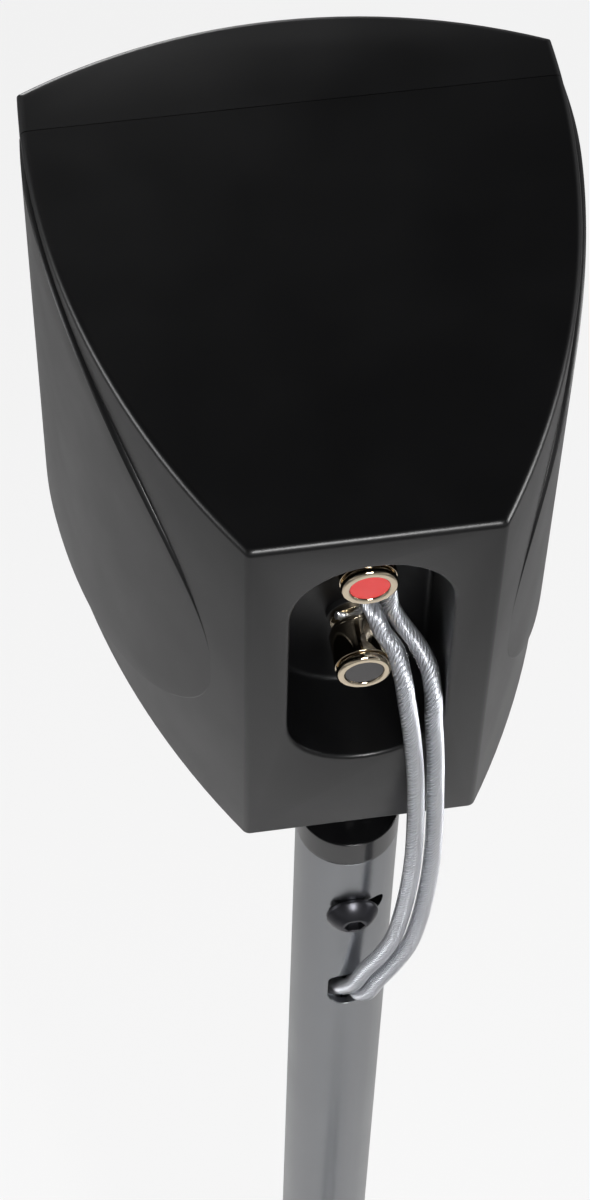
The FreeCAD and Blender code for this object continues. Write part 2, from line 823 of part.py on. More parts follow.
woofer_seat = {"y": SEAM, "z": f"{ABOVE_NECK} + woofer_height", "turn": FACING_FRONT}
woofer_front = [Placement(Vector(x, seam_y, level), FACING_FRONT) for x, level in woofer_screw_spots]
MOTOR_BACK = "0 - basket_depth - 4 - magnet_thickness"
basket_blank = turned(
    "basket_pressing",
    [
        ("woofer_cutout_radius - 0.4", "0"),
        ("woofer_flange_radius", "0"),
        ("woofer_flange_radius", "woofer_flange_thickness"),
        ("woofer_cutout_radius + 1", "woofer_flange_thickness"),
        ("woofer_cutout_radius + 1", "basket_wall"),
        ("woofer_cutout_radius - 0.4 - basket_wall", "basket_wall"),
        ("woofer_cutout_radius - 0.4 - basket_wall", "0 - basket_depth / 2"),
        ("woofer_cutout_radius - 5", "5 - basket_depth"),
        ("woofer_cutout_radius - 8", "5 - basket_depth"),
        ("woofer_cutout_radius - 8", "basket_wall - basket_depth"),
        ("gap_radius + 0.1", "basket_wall - basket_depth"),
        ("gap_radius + 0.1", "0 - basket_depth"),
        ("woofer_cutout_radius - 8 + basket_wall", "0 - basket_depth"),
        ("woofer_cutout_radius - 8 + basket_wall", "5 - basket_wall - basket_depth"),
        ("woofer_cutout_radius - 5 + basket_wall", "5 - basket_wall - basket_depth"),
        ("woofer_cutout_radius - 0.4", "0 - basket_depth / 2 - 0.4"),
    ],
    **woofer_seat,
)
flange_holes = [
    bar(s.woofer_screw_radius, x, level, s.seam_depth - 1, s.seam_depth + s.woofer_flange_thickness + 1)
    for x, level in woofer_screw_spots
]
flange_cutters = made("woofer_flange_holes", Part.Compound(flange_holes))
keep("woofer_basket", cut("drilled_basket", basket_blank, flange_cutters))
keep(
    "woofer_top_plate",
    ring(
        "top_plate_ring", "gap_radius", "magnet_radius - 4", "0 - basket_depth - 4", "0 - basket_depth", **woofer_seat
    ),
)
keep(
    "woofer_magnet",
    ring("magnet_ring", "gap_radius + 2.2", "magnet_radius", MOTOR_BACK, "0 - basket_depth - 4", **woofer_seat),
)
keep(
    "woofer_yoke",
    turned(
        "yoke_turning",
        [
            ("0", f"{MOTOR_BACK} - 4"),
            ("magnet_radius - 2", f"{MOTOR_BACK} - 4"),
            ("magnet_radius - 2", MOTOR_BACK),
            ("pole_piece_radius", MOTOR_BACK),
            ("pole_piece_radius", "0 - basket_depth"),
            ("0", "0 - basket_depth"),
        ],
        **woofer_seat,
    ),
)
FORMER = "coil_radius + 0.3"
CONE_FOOT = "9.1 - basket_depth"
keep("voice_coil_former", ring("former_tube", "coil_radius - 0.1", FORMER, "0 - basket_depth - 10", CONE_FOOT, **woofer_seat))
keep(
    "voice_coil",
    ring("coil_winding", FORMER, "coil_radius + 0.8", "0 - basket_depth - 10", "0 - basket_depth - 2", **woofer_seat),
)
keep(
    "woofer_cone",
    turned(
        "cone_pressing",
        [
            (FORMER, "8 - basket_depth"),
            ("cone_radius - 0.6", "0.4"),
            ("cone_radius + 1", "0.4"),
            ("cone_radius + 1", "basket_wall"),
            ("cone_radius - 1", "basket_wall"),
            (FORMER, CONE_FOOT),
        ],
        **woofer_seat,
    ),
)


def on_cone(share):
    """A corner on the cone's front, a share of the way out from the voice coil."""
    radius = f"{FORMER} + (cone_radius - 1 - ({FORMER})) * {share}"
    return radius, f"{CONE_FOOT} + (basket_wall - ({CONE_FOOT})) * {share}"


keep(
    "dust_cap",
    turned(
        "dust_cap_pressing",
        [
            on_cone(0.115),
            (*on_cone(0.13), "26"),
            ("1", "16.4 - basket_depth"),
            ("0", "16.4 - basket_depth"),
            ("0", "15.9 - basket_depth"),
            ("1", "15.9 - basket_depth", "-26"),
        ],
        **woofer_seat,
    ),
)
keep(
    "woofer_surround",
    turned(
        "surround_moulding",
        [
            ("cone_radius - 0.6", "basket_wall"),
            ("cone_radius + 1", "basket_wall", "-1.9"),
            ("woofer_cutout_radius - 0.4 - basket_wall", "basket_wall"),
            ("woofer_cutout_radius + 0.9", "basket_wall"),
            ("woofer_cutout_radius + 0.9", "basket_wall + 0.6"),
            ("woofer_cutout_radius - 0.1 - basket_wall", "basket_wall + 0.6", "2.1"),
            ("cone_radius + 0.7", "basket_wall + 0.6"),
            ("cone_radius - 0.6", "basket_wall + 0.6"),
        ],
        **woofer_seat,
    ),
)
keep(
    "woofer_spider",
    ring("spider_cloth", FORMER, "woofer_cutout_radius - 5.1", "5 - basket_depth", "5.5 - basket_depth", **woofer_seat),
)
keep(
    "woofer_gasket",
    ring(
        "gasket_ring",
        "woofer_cutout_radius - 1.1",
        "woofer_cutout_radius + 0.9",
        "basket_wall + 0.6",
        "woofer_flange_thickness",
        **woofer_seat,
    ),
)
woofer_screw = screw_pattern("woofer_screw", "woofer_screw_radius", "8.5", "2.4", "1.7")
front = Vector(0, -s.woofer_flange_thickness, 0)
spots = [Placement(spot.Base + front, spot.Rotation) for spot in woofer_front]
keep("woofer_screws", group("four_woofer_screws", woofer_screw, spots))

# ---------------------------------------------------------------- tweeter

tweeter_seat = {"y": SEAM, "z": f"{ABOVE_NECK} + tweeter_height", "turn": FACING_FRONT}
TWEETER_HOLE = "tweeter_dome_radius + 0.2"
faceplate_blank = turned(
    "faceplate_turning",
    [
        (TWEETER_HOLE, "0"),
        ("tweeter_flange_radius", "0"),
        ("tweeter_flange_radius", "2.5"),
        ("tweeter_flange_radius - 4.2", "2.5"),
        (TWEETER_HOLE, "0.8"),
    ],
    **tweeter_seat,
)
faceplate_holes = [
    bar(s.tweeter_screw_radius, x, level, s.seam_depth - 1, s.seam_depth + 4)
    for x, level in tweeter_screw_spots
]
faceplate_cutters = made("faceplate_holes", Part.Compound(faceplate_holes))
keep("tweeter_faceplate", cut("drilled_faceplate", faceplate_blank, faceplate_cutters))
keep(
    "tweeter_dome",
    turned(
        "dome_pressing",
        [
            ("tweeter_dome_radius - 0.7", "-0.6"),
            ("tweeter_body_radius - 0.4", "-0.6"),
            ("tweeter_body_radius - 0.4", "0"),
            ("tweeter_dome_radius", "0", "19.3"),
            ("1", "4.6"),
            ("0", "4.6"),
            ("0", "4.1"),
            ("1", "4.1", "-17.2"),
        ],
        **tweeter_seat,
    ),
)
keep(
    "tweeter_motor",
    turned(
        "tweeter_motor_turning",
        [
            ("0", "0 - tweeter_body_depth"),
            ("tweeter_body_radius", "0 - tweeter_body_depth"),
            ("tweeter_body_radius", "0"),
            ("tweeter_body_radius - 0.3", "0"),
            ("tweeter_body_radius - 0.3", "-0.6"),
            ("tweeter_body_radius - 3", "-0.6"),
            ("tweeter_body_radius - 3", "-4"),
            ("0", "-4"),
        ],
        **tweeter_seat,
    ),
)
tweeter_screw = screw_pattern("tweeter_screw", "tweeter_screw_radius", "8", "1.9", "1.4")
spots = [Placement(Vector(x, seam_y - 2.5, level), FACING_FRONT) for x, level in tweeter_screw_spots]
keep("tweeter_screws", group("three_tweeter_screws", tweeter_screw, spots))

# ---------------------------------------------------------------- grille

full_height = (cabinet_floor, cabinet_top)


def bow_post(recess):
    """The round post that the grille's bowed front is a slice of, less a recess."""
    foot = plan_point(0, bow_centre_depth, cabinet_floor - 1)
    return Part.makeCylinder(bow_radius - recess, s.cabinet_height + 2, foot)


def grille_shapes():
    """The grille's frame with its pegs, and the cloth stretched inside the frame."""
    grille_back = s.seam_depth + s.grille_gap
    wall_in = s.grille_wall
    levels = (cabinet_floor + wall_in, cabinet_top - wall_in)
    outside = slab(grille_back, s.corner_depth, 0, *full_height, bowed=True)
    corners = [e for e in outside.Edges if is_upright(e) and e.Vertexes[0].Y < plan_point(0, s.corner_depth - 1).y]
    outside = outside.makeFillet(s.grille_corner_radius, corners)
    frame = outside.cut(slab(grille_back - 1, s.corner_depth + 20, wall_in, *levels))
    gussets = [
        bar(6.0, x, level, grille_back, grille_back + 3).common(outside) for x, level in peg_spots
    ]
    pegs = [bar(s.peg_radius, x, level, grille_back - s.peg_length, grille_back) for x, level in peg_spots]
    frame = frame.fuse(gussets + pegs)
    stretched = slab(s.corner_depth - 30, s.corner_depth + 20, wall_in, *levels)
    stretched = stretched.common(bow_post(s.grille_cloth_recess))
    cloth = stretched.cut(bow_post(s.grille_cloth_recess + s.grille_cloth_thickness))
    return frame, cloth


frame_shape, cloth_shape = grille_shapes()
keep("grille_frame", made("grille_moulding", frame_shape))
keep("grille_cloth", made("grille_stretched_cloth", cloth_shape))

# ---------------------------------------------------------------- crossover and wadding


def board_shape():
    """The crossover board with its screw holes."""
    corner = plan_point(-s.board_width / 2, s.board_depth + s.board_length, board_floor)
    board = Part.makeBox(s.board_width, s.board_length, s.board_thickness, corner)
    holes = [
        Part.makeCylinder(board_screw_radius, s.board_thickness + 2, plan_point(x, depth, board_floor - 1))
        for x, depth in board_posts
    ]
    return board.cut(holes)


board_top = board_floor + s.board_thickness
keep("crossover_board", made("board_laminate", board_shape()))
board_screw = turned(
    "board_screw",
    [
        ("0", "-4.3"),
        ("1.2", "-4.3"),
        ("1.2", "0"),
        ("2.2", "0"),
        ("2.2", "0.8"),
        ("1.5", "1.5"),
        ("0", "1.5"),
    ],
)
spots = [Placement(plan_point(x, depth, board_top), Rotation()) for x, depth in board_posts]
keep("board_screws", group("four_board_screws", board_screw, spots))
BOARD_TOP = f"{ABOVE_NECK} + cabinet_wall + board_rise + board_thickness"
keep(
    "inductor",
    ring(
        "inductor_winding",
        "inductor_diameter * 0.22",
        "inductor_diameter / 2",
        "0",
        "inductor_height",
        x="0 - board_width * 0.28",
        y="axis_to_rear - board_depth - board_length * 0.34",
        z=BOARD_TOP,
    ),
)
capacitors = []
for number, share in enumerate((0.1, 0.3), start=1):
    capacitors.append(
        rod(
            f"capacitor_{number}",
            "capacitor_diameter / 2",
            "capacitor_length",
            x=f"board_width * {share}",
            y="axis_to_rear - board_depth - 9",
            z=f"{BOARD_TOP} + capacitor_diameter / 2",
            turn=FACING_FRONT,
        )
    )
keep("capacitors", fused("two_capacitors", *capacitors))
resistor = doc.addObject("Part::Box", "resistor_body")
bind(resistor, Length="22", Width="8", Height="8")
place(resistor, x="0 - board_width * 0.36", y="axis_to_rear - board_depth - board_length + 3", z=BOARD_TOP)
keep("resistor", resistor)


def wadding_shape():
    """A pillow of damping wadding against the cabinet's top wall."""
    top = cabinet_top - wall
    pillow = Part.makeBox(64, 60, 15, plan_point(-32, 98, top - 15))
    soft = [e for e in pillow.Edges if e.BoundBox.ZMin < top - 1]
    return pillow.makeFillet(5.0, soft)


keep("damping_wadding", made("wadding_pillow", wadding_shape()))

# ---------------------------------------------------------------- binding posts

POST_LEVELS = {
    "red": f"{ABOVE_NECK} + cabinet_height - post_drop",
    "black": f"{ABOVE_NECK} + cabinet_height - post_drop - post_pitch",
}
BEHIND_WALL = "0 - cup_wall - post_insulator_thickness"
WASHER_FACE = "post_insulator_thickness + post_flange_thickness + wire_gap"
KNOB_BACK = f"{WASHER_FACE} + clamp_washer_thickness"
KNOB_FRONT = f"{KNOB_BACK} + knob_length"
RING_BACK = f"{KNOB_FRONT} - knob_ring_length"
GROOVE_BACK = f"{RING_BACK} - knob_groove_length"
INSERT_SEAT = f"{KNOB_FRONT} - knob_insert_recess - knob_insert_thickness"
STEM = "post_stem_diameter / 2"
BORE = f"{STEM} + running_clearance"

insulators, stems, tags, nuts = [], [], [], []
for colour, level in POST_LEVELS.items():
    seat = {"y": CUP_BACK, "z": level, "turn": FACING_REAR}
    rim = "post_insulator_diameter / 2"
    outer = ring(f"outer_insulator_{colour}", STEM, rim, "0", "post_insulator_thickness", **seat)
    inner = ring(f"inner_insulator_{colour}", STEM, f"{rim} - 0.5", BEHIND_WALL, "0 - cup_wall", **seat)
    insulators += [outer, inner]
    stems.append(
        turned(
            f"stem_turning_{colour}",
            [
                ("0", f"{BEHIND_WALL} - 10"),
                (STEM, f"{BEHIND_WALL} - 10"),
                (STEM, "post_insulator_thickness"),
                ("post_flange_diameter / 2", "post_insulator_thickness"),
                ("post_flange_diameter / 2", "post_insulator_thickness + post_flange_thickness"),
                (STEM, "post_insulator_thickness + post_flange_thickness"),
                (STEM, f"{INSERT_SEAT} - 2.2"),
                ("0", f"{INSERT_SEAT} - 2.2"),
            ],
            **seat,
        )
    )
    tags.append(ring(f"tag_ring_{colour}", STEM, f"{rim} - 1.5", f"{BEHIND_WALL} - 0.8", BEHIND_WALL, **seat))
    nut_seat = dict(seat, y=f"{CUP_BACK} - cup_wall - post_insulator_thickness - 4.8")
    nut_blank = hexagon(f"nut_blank_{colour}", "8", "4", **nut_seat)
    nut_bore = rod(f"nut_bore_{colour}", STEM, "4", **nut_seat)
    nuts.append(cut(f"nut_{colour}", nut_blank, nut_bore))
    keep(
        f"clamp_washer_{colour}",
        ring(f"washer_ring_{colour}", BORE, "knob_ring_diameter / 2", WASHER_FACE, f"{KNOB_BACK} - 0.05", **seat),
    )
    keep(
        f"knob_{colour}",
        turned(
            f"knob_turning_{colour}",
            [
                (BORE, KNOB_BACK),
                ("knob_diameter / 2", KNOB_BACK),
                ("knob_diameter / 2", GROOVE_BACK),
                ("knob_groove_diameter / 2", GROOVE_BACK),
                ("knob_groove_diameter / 2", RING_BACK),
                ("knob_ring_diameter / 2", RING_BACK),
                ("knob_ring_diameter / 2", KNOB_FRONT),
                ("knob_insert_diameter / 2", KNOB_FRONT),
                ("knob_insert_diameter / 2", INSERT_SEAT),
                ("0", INSERT_SEAT),
                ("0", f"{INSERT_SEAT} - 1.5"),
                (BORE, f"{INSERT_SEAT} - 1.5"),
            ],
            **seat,
        ),
    )
    keep(
        f"knob_insert_{colour}",
        ring(
            f"knob_disc_{colour}",
            "0",
            "knob_insert_diameter / 2",
            INSERT_SEAT,
            f"{INSERT_SEAT} + knob_insert_thickness",
            **seat,
        ),
    )


def set_of(label, things):
    """Keep several pieces of one kind as one node."""
    doc.recompute()
    keep(label, made(label + "_set", Part.Compound([thing.Shape for thing in things])))


set_of("post_insulators", insulators)
set_of("post_stems", stems)
set_of("solder_tags", tags)
set_of("post_nuts", nuts)

# ---------------------------------------------------------------- conductors at the terminals

hole_level = pole_top - s.cable_hole_drop
wire_start = hole_level - 36.4
black_level, red_level = post_heights["black"], post_heights["red"]


def hung(low, high, points):
    """Route points whose heights stretch with the pole's hole at one end and the terminals at the other."""
    drawn_low, drawn_high = 736.4, 903.5
    reach = (high - low) / (drawn_high - drawn_low)
    moved = []
    for x, y, z in points:
        if z < drawn_low:
            level = low + z - drawn_low
        elif z > drawn_high:
            level = high + z - drawn_high
        else:
            level = low + (z - drawn_low) * reach
        moved.append((x, y, level))
    return moved


black_route = hung(
    hole_level,
    black_level,
    [
        (-2.2, -0.6, 918.6),
        (-3.0, 2.8, 918.2),
        (-4.5, 5.8, 914.6),
        (-6.9, 8.7, 911.9),
        (-8.3, 13.4, 906.8),
        (-9.3, 16.4, 898.2),
        (-11.0, 18.8, 882.7),
        (-12.4, 20.2, 863.9),
        (-12.8, 21.9, 846.0),
        (-12.8, 22.8, 828.0),
        (-12.1, 23.1, 811.0),
        (-11.1, 22.6, 796.0),
        (-9.9, 21.4, 782.0),
        (-7.0, 19.9, 768.6),
        (-4.0, 18.3, 758.4),
        (-1.0, 16.6, 746.5),
        (1.4, 12.9, 737.5),
        (2.3, 9.0, 731.4),
        (2.5, 7.4, 720.0),
        (2.3, 6.8, 709.5),
        (2.3, 6.8, 700.0),
    ],
)
red_route = hung(
    hole_level,
    black_level,
    [
        (-3.8, -3.7, 930.6),
        (-5.6, -3.6, 924.6),
        (-7.2, -3.0, 917.5),
        (-7.9, -2.0, 912.8),
        (-10.2, 0.8, 909.2),
        (-13.0, 4.8, 906.6),
        (-15.2, 9.0, 903.4),
        (-16.0, 13.2, 898.6),
        (-16.2, 16.6, 888.6),
        (-16.9, 19.2, 875.0),
        (-17.2, 20.8, 863.5),
        (-17.6, 22.4, 846.0),
        (-17.5, 23.7, 828.0),
        (-16.8, 24.1, 811.0),
        (-15.7, 23.8, 795.0),
        (-14.1, 22.6, 779.3),
        (-10.5, 21.2, 764.5),
        (-7.3, 19.8, 753.7),
        (-4.6, 17.7, 741.8),
        (-2.8, 13.5, 734.6),
        (-2.5, 9.4, 731.4),
        (-2.4, 7.4, 721.0),
        (-2.3, 6.8, 709.5),
        (-2.3, 6.8, 700.0),
    ],
)
black_strands = hung(
    hole_level,
    black_level,
    [
        (-2.2, -0.6, 918.6),
        (-1.9, -1.88, 918.75),
        (-1.6, -3.3, 917.0),
        (-1.4, -3.9, 911.0),
        (1.4, -3.9, 907.2),
        (4.8, -3.9, 908.6),
    ],
)
red_strands = hung(
    hole_level,
    black_level,
    [
        (-3.8, -3.7, 930.6),
        (-3.2, -3.73, 932.6),
        (-4.4, -3.9, 939.3),
        (-3.2, -3.9, 944.6),
        (2.2, -3.9, 945.4),
    ],
)
conductors = {}
for colour, route, strands in (("black", black_route, black_strands), ("red", red_route, red_strands)):
    keep(f"conductor_{colour}", made(f"conductor_{colour}_run", cable(f"conductor {colour}", route, s.conductor_diameter)))
    tuft = cable(f"strands {colour}", strands, s.strand_bundle_diameter)
    keep(f"strands_{colour}", made(f"strands_{colour}_run", tuft))

# ---------------------------------------------------------------- lead inside the pole and out to its coil

exit_level = base_top + s.exit_hole_rise
lead_radius = s.lead_width / 2
on_base, on_floor = base_top + lead_radius + 0.1, lead_radius + 0.1
base_radius = s.base_diameter / 2
for colour, side in (("black", 1), ("red", -1)):
    x = side * s.lead_offset
    inside = [
        (x, 6.8, wire_start),
        (x, 6.8, exit_level + 20),
        (x, 8.2, exit_level + 6),
        (x, 13.0, exit_level - 1.5),
        (x, 17.0, exit_level - 4.5),
    ]
    keep(f"pole_wire_{colour}", made(f"pole_wire_{colour}_run", cable(f"pole wire {colour}", inside, s.conductor_diameter)))

outer_radius = s.coil_inner_radius + s.coil_pitch * s.coil_turns_per_layer
coil_y = s.coil_centre + base_radius - 140
lead_start = (0, 17.0, exit_level - 4.5)
run_out = [
    lead_start,
    (0, 24.0, exit_level - 9.75),
    (1, 31.0, base_top + 17),
    (3, 42.0, base_top + 8),
    (6, 60.0, on_base),
    (12, base_radius - 50, on_base),
    (28, base_radius - 20, on_base),
    (44, base_radius - 1, on_base),
    (56, base_radius + 14, on_floor + 4),
    (65, base_radius + 30, on_floor),
    (outer_radius, base_radius + 50, on_floor),
    (outer_radius, coil_y - 12, on_floor),
]
keep("lead_run", made("lead_run_tube", cable("lead run", run_out, s.lead_width)))

SEGMENTS = 16
layer_rise = s.coil_pitch + 0.2


def spiral(first_radius, growth, turns, level, first_angle=0.0):
    """Points of a flat spiral about the coil's centre."""
    count = int(round(turns * SEGMENTS))
    points = []
    for i in range(count + 1):
        angle = first_angle + 2 * math.pi * i / SEGMENTS
        radius = first_radius + growth * i / SEGMENTS
        points.append((radius * math.cos(angle), coil_y + radius * math.sin(angle), level))
    return points


inward = spiral(outer_radius, -s.coil_pitch, s.coil_turns_per_layer, on_floor)
lift = [
    (s.coil_inner_radius * math.cos(angle), coil_y + s.coil_inner_radius * math.sin(angle), on_floor + rise)
    for angle, rise in ((math.pi / 8 * step, layer_rise * step / 4) for step in (1, 2, 3))
]
upper = on_floor + layer_rise
outward = spiral(s.coil_inner_radius, s.coil_pitch, s.coil_turns_per_layer, upper, math.pi / 2)
away = [
    (-26, coil_y + outer_radius + 1.5, upper),
    (-50, coil_y + outer_radius + 2.5, on_floor + layer_rise * 0.75),
    (-76, coil_y + outer_radius - 2, on_floor + layer_rise * 0.2),
    (-100, coil_y + outer_radius - 14, on_floor),
    (-122, coil_y + outer_radius - 32, on_floor),
]
coil = [run_out[-1]] + inward + lift + outward + away
keep("lead_coil", made("lead_coil_tube", cable("lead coil", coil, s.lead_width)))

# The two conductors come apart at the free end, and each has its insulation stripped back.
heading = (Vector(*away[-1]) - Vector(*away[-2])).normalize()
across = Vector(heading.y, -heading.x, 0)
split = Vector(*away[-1])
tails, bare_ends = [], []
for side, spread, reach in ((1, 11.0, 62.0), (-1, 8.0, 55.0)):
    low = s.conductor_diameter / 2 + 0.1
    start = split + across * side * s.lead_offset
    route = [
        start,
        start + heading * 14,
        start + heading * 34 + across * side * spread * 0.4 + Vector(0, 0, low - on_floor),
        start + heading * (reach - 14) + across * side * spread * 0.8 + Vector(0, 0, low - on_floor),
        start + heading * reach + across * side * spread + Vector(0, 0, low - on_floor),
    ]
    tails.append(cable("tail", [tuple(point) for point in route], s.conductor_diameter))
    on = (route[-1] - route[-2]).normalize()
    bare_ends.append(Part.makeCylinder(s.strand_bundle_diameter / 2, 11, route[-1], on))
keep("lead_tails", made("lead_tail_tubes", Part.Compound(tails)))
keep("lead_bare_ends", made("lead_bare_end_rods", Part.Compound(bare_ends)))

# ---------------------------------------------------------------- checks and files

doc.recompute()
for thing in doc.Objects:
    if "Invalid" in thing.State or "Error" in thing.State:
        raise RuntimeError(f"{thing.Label}: {thing.State}")
for piece in pieces:
    if piece.Shape.isNull() or not piece.Shape.isValid() or not piece.Shape.Solids:
        raise RuntimeError(f"{piece.Label}: its shape is not a valid solid")
os.makedirs("parts", exist_ok=True)
for piece in pieces:
    piece.Shape.exportStep(os.path.join("parts", piece.Label + ".step"))
print(len(pieces), "pieces written")
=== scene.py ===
"""Looks for a satellite loudspeaker on its floor stand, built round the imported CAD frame.

Lengths are in millimetres in the row frame, and turn to metres where a mesh is made. +Z is up, the
loudspeaker faces -Y, and its terminals face +Y.
"""

import logging
import math
from collections.abc import Callable, Iterable, Sequence
from dataclasses import dataclass
from enum import Enum

import bmesh
import bpy
from mathutils import Matrix, Vector


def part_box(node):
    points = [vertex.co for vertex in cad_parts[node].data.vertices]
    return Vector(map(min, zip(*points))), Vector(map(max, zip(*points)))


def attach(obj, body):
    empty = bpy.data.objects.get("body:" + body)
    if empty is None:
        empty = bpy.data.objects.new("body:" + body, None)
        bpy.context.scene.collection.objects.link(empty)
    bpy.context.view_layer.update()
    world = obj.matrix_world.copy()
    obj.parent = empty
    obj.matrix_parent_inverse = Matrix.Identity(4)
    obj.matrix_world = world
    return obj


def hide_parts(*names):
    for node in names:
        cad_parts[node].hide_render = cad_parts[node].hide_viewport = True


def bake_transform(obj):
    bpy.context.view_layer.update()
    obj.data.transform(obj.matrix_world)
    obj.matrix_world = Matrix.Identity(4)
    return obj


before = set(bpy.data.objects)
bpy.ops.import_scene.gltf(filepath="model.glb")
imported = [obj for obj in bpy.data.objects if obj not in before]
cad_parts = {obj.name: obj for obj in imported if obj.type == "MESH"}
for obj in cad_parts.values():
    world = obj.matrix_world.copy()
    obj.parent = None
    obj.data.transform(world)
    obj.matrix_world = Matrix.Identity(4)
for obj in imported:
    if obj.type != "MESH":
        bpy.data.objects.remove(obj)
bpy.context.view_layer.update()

MM = 0.001
IMAGE_WIDTH, IMAGE_HEIGHT = 590, 1200

log = logging.getLogger("speaker_stand")

Point = tuple[float, float, float]
Plan = tuple[float, float]
Section = Callable[[float], list[Plan]]


# ---------------------------------------------------------------- sizes read from the frame


def node_box(name: str) -> tuple[Vector, Vector]:
    """A CAD node's lowest and highest corners, in millimetres.

    Args:
        name: the node's name.

    Returns:
        The two corners.
    """
    low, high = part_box(name)
    return Vector(low) / MM, Vector(high) / MM


CABINET_LOW, CABINET_HIGH = node_box("cabinet")
POLE_LOW, POLE_HIGH = node_box("pole_tube")
REAR_Y = CABINET_HIGH.y
SEAM_Y = CABINET_LOW.y


# ---------------------------------------------------------------- finishes


class Texture(Enum):
    """The ways a finish's surface is broken up."""

    GRAIN = "fine moulded or powder grain"
    DRAWN = "fine lines along one direction"
    WEAVE = "crossed threads"
    FIBRE = "tangled fibres"
    HOLES = "rows of round holes"
    WINDING = "wound wire"


@dataclass(frozen=True)
class Finish:
    """A real material: its colours, its gloss and how its surface was made."""

    slot: str
    colour: str
    # The colour of the pattern's hollows: painted shade for the grille's holes, the spider's threads and
    # the wadding's fibres, and a mottled tone for the laminate.
    second: str = ""
    roughness: float = 0.5
    metallic: float = 0.0
    ior: float = 1.5
    coat: float = 0.0
    clear: float = 0.0
    sheen: float = 0.0
    texture: Texture = Texture.GRAIN
    spacing_mm: float = 0.6
    depth_mm: float = 0.02
    uneven: float = 0.06
    edge_mm: float = 0.0


def linear(code: str) -> tuple[float, float, float, float]:
    """Turn an sRGB hex colour to linear.

    Args:
        code: six hexadecimal digits after a hash.

    Returns:
        Red, green, blue and an alpha of 1.
    """
    parts = [int(code[i : i + 2], 16) / 255 for i in (1, 3, 5)]
    red, green, blue = (c / 12.92 if c <= 0.04045 else ((c + 0.055) / 1.055) ** 2.4 for c in parts)
    return red, green, blue, 1.0


# Moulded ABS: a dark satin skin whose fine spark-eroded grain softens every reflection.
MOULDED_ABS = Finish("cabinet_plastic", "#0b0b0c", roughness=0.33, spacing_mm=0.45, depth_mm=0.012)
# The same ABS in the grille's frame, from a smoother mould.
FRAME_ABS = Finish("grille_plastic", "#0c0c0d", roughness=0.35, spacing_mm=0.45, depth_mm=0.010)
# Anodised aluminium tube: grey metal whose drawn lines stretch reflections up the pole.
ANODISED_ALUMINIUM = Finish(
    "pole_metal",
    "#8b8d90",
    roughness=0.24,
    metallic=1.0,
    texture=Texture.DRAWN,
    spacing_mm=0.35,
    depth_mm=0.0015,
    edge_mm=0.5,
)
# Polished acetal collar: near black, with one soft bright line round its rim.
POLISHED_ACETAL = Finish("collar_black", "#0c0c0d", roughness=0.16, depth_mm=0.002, edge_mm=0.9)
# Black-oxide steel: dark grey metal with an oily, slightly blurred shine.
BLACK_OXIDE = Finish("black_screw", "#3e3e42", roughness=0.3, metallic=0.85, depth_mm=0.006, edge_mm=0.35)
# Zinc-plated steel: light bluish metal, a little cloudy.
ZINC_PLATE = Finish("zinc_steel", "#b4b7bb", roughness=0.32, metallic=1.0, edge_mm=0.2, uneven=0.12)
# Powder-coated steel: black with the faint orange peel of baked powder.
POWDER_COAT = Finish("base_steel", "#1c1d1f", roughness=0.4, spacing_mm=1.1, depth_mm=0.03, edge_mm=0.8)
# Moulded polypropylene: a plain dull black.
POLYPROPYLENE = Finish("foot_ring_plastic", "#19191b", roughness=0.42, edge_mm=0.6)
# Moulded rubber: black, dry and matt.
MOULDED_RUBBER = Finish("foot_rubber", "#161617", roughness=0.75, spacing_mm=0.8, depth_mm=0.03)
# Neoprene sheet: the same dry black, cut flat.
NEOPRENE = Finish("pad_rubber", "#151516", roughness=0.8, spacing_mm=0.5, depth_mm=0.02)
# Butyl surround: soft black rubber with a faint sheen on its roll.
BUTYL = Finish("soft_rubber", "#141415", roughness=0.55, sheen=0.1, depth_mm=0.01)
# Turned brass: warm yellow metal with fine lathe lines.
TURNED_BRASS = Finish(
    "brass", "#c9a866", roughness=0.28, metallic=1.0, texture=Texture.DRAWN, depth_mm=0.004
)
# Gold flash over polished brass: an almost perfect mirror, pale where it shows the white room.
GOLD_PLATE = Finish(
    "gold_plate", "#dccdb4", roughness=0.07, metallic=1.0, depth_mm=0.001, uneven=0.02, edge_mm=0.15
)
# Red acrylic disc: bright and even, with a thin gloss.
RED_ACRYLIC = Finish("red_disc", "#fb3431", roughness=0.25, coat=0.3, depth_mm=0.002, edge_mm=0.2)
# Black acrylic disc: dark grey with the same gloss.
BLACK_ACRYLIC = Finish("black_disc", "#2b2829", roughness=0.25, coat=0.3, depth_mm=0.002, edge_mm=0.2)
# Black nylon: the insulating rings behind the posts.
NYLON = Finish("insulator_nylon", "#1a1a1b", roughness=0.45, edge_mm=0.2)
# Painted fibreboard: black and flat, a little rough.
PAINTED_BOARD = Finish("baffle_board", "#181819", roughness=0.6, spacing_mm=1.2, depth_mm=0.05)
# Painted pressed steel: smooth black with soft bends.
PRESSED_STEEL = Finish("pressed_steel", "#1c1c1e", roughness=0.38, edge_mm=0.4)
# Ferrite: a dull charcoal ceramic with ground faces.
FERRITE = Finish(
    "ferrite", "#2b2c2e", roughness=0.55, uneven=0.15, spacing_mm=1.5, depth_mm=0.03, edge_mm=0.5
)
# Pressed paper pulp: dark, matt and faintly fibrous.
PAPER_PULP = Finish(
    "cone_paper", "#262423", roughness=0.8, texture=Texture.FIBRE, spacing_mm=1.4, depth_mm=0.06
)
# Enamelled copper: orange wire, each turn with its own fine highlight.
ENAMELLED_COPPER = Finish(
    "copper_winding",
    "#b5652c",
    roughness=0.25,
    metallic=0.9,
    texture=Texture.WINDING,
    spacing_mm=0.9,
    depth_mm=0.25,
)
# Aluminium foil: thin pale metal round the voice coil.
ALUMINIUM_FOIL = Finish("former_aluminium", "#b9bbbd", roughness=0.3, metallic=1.0)
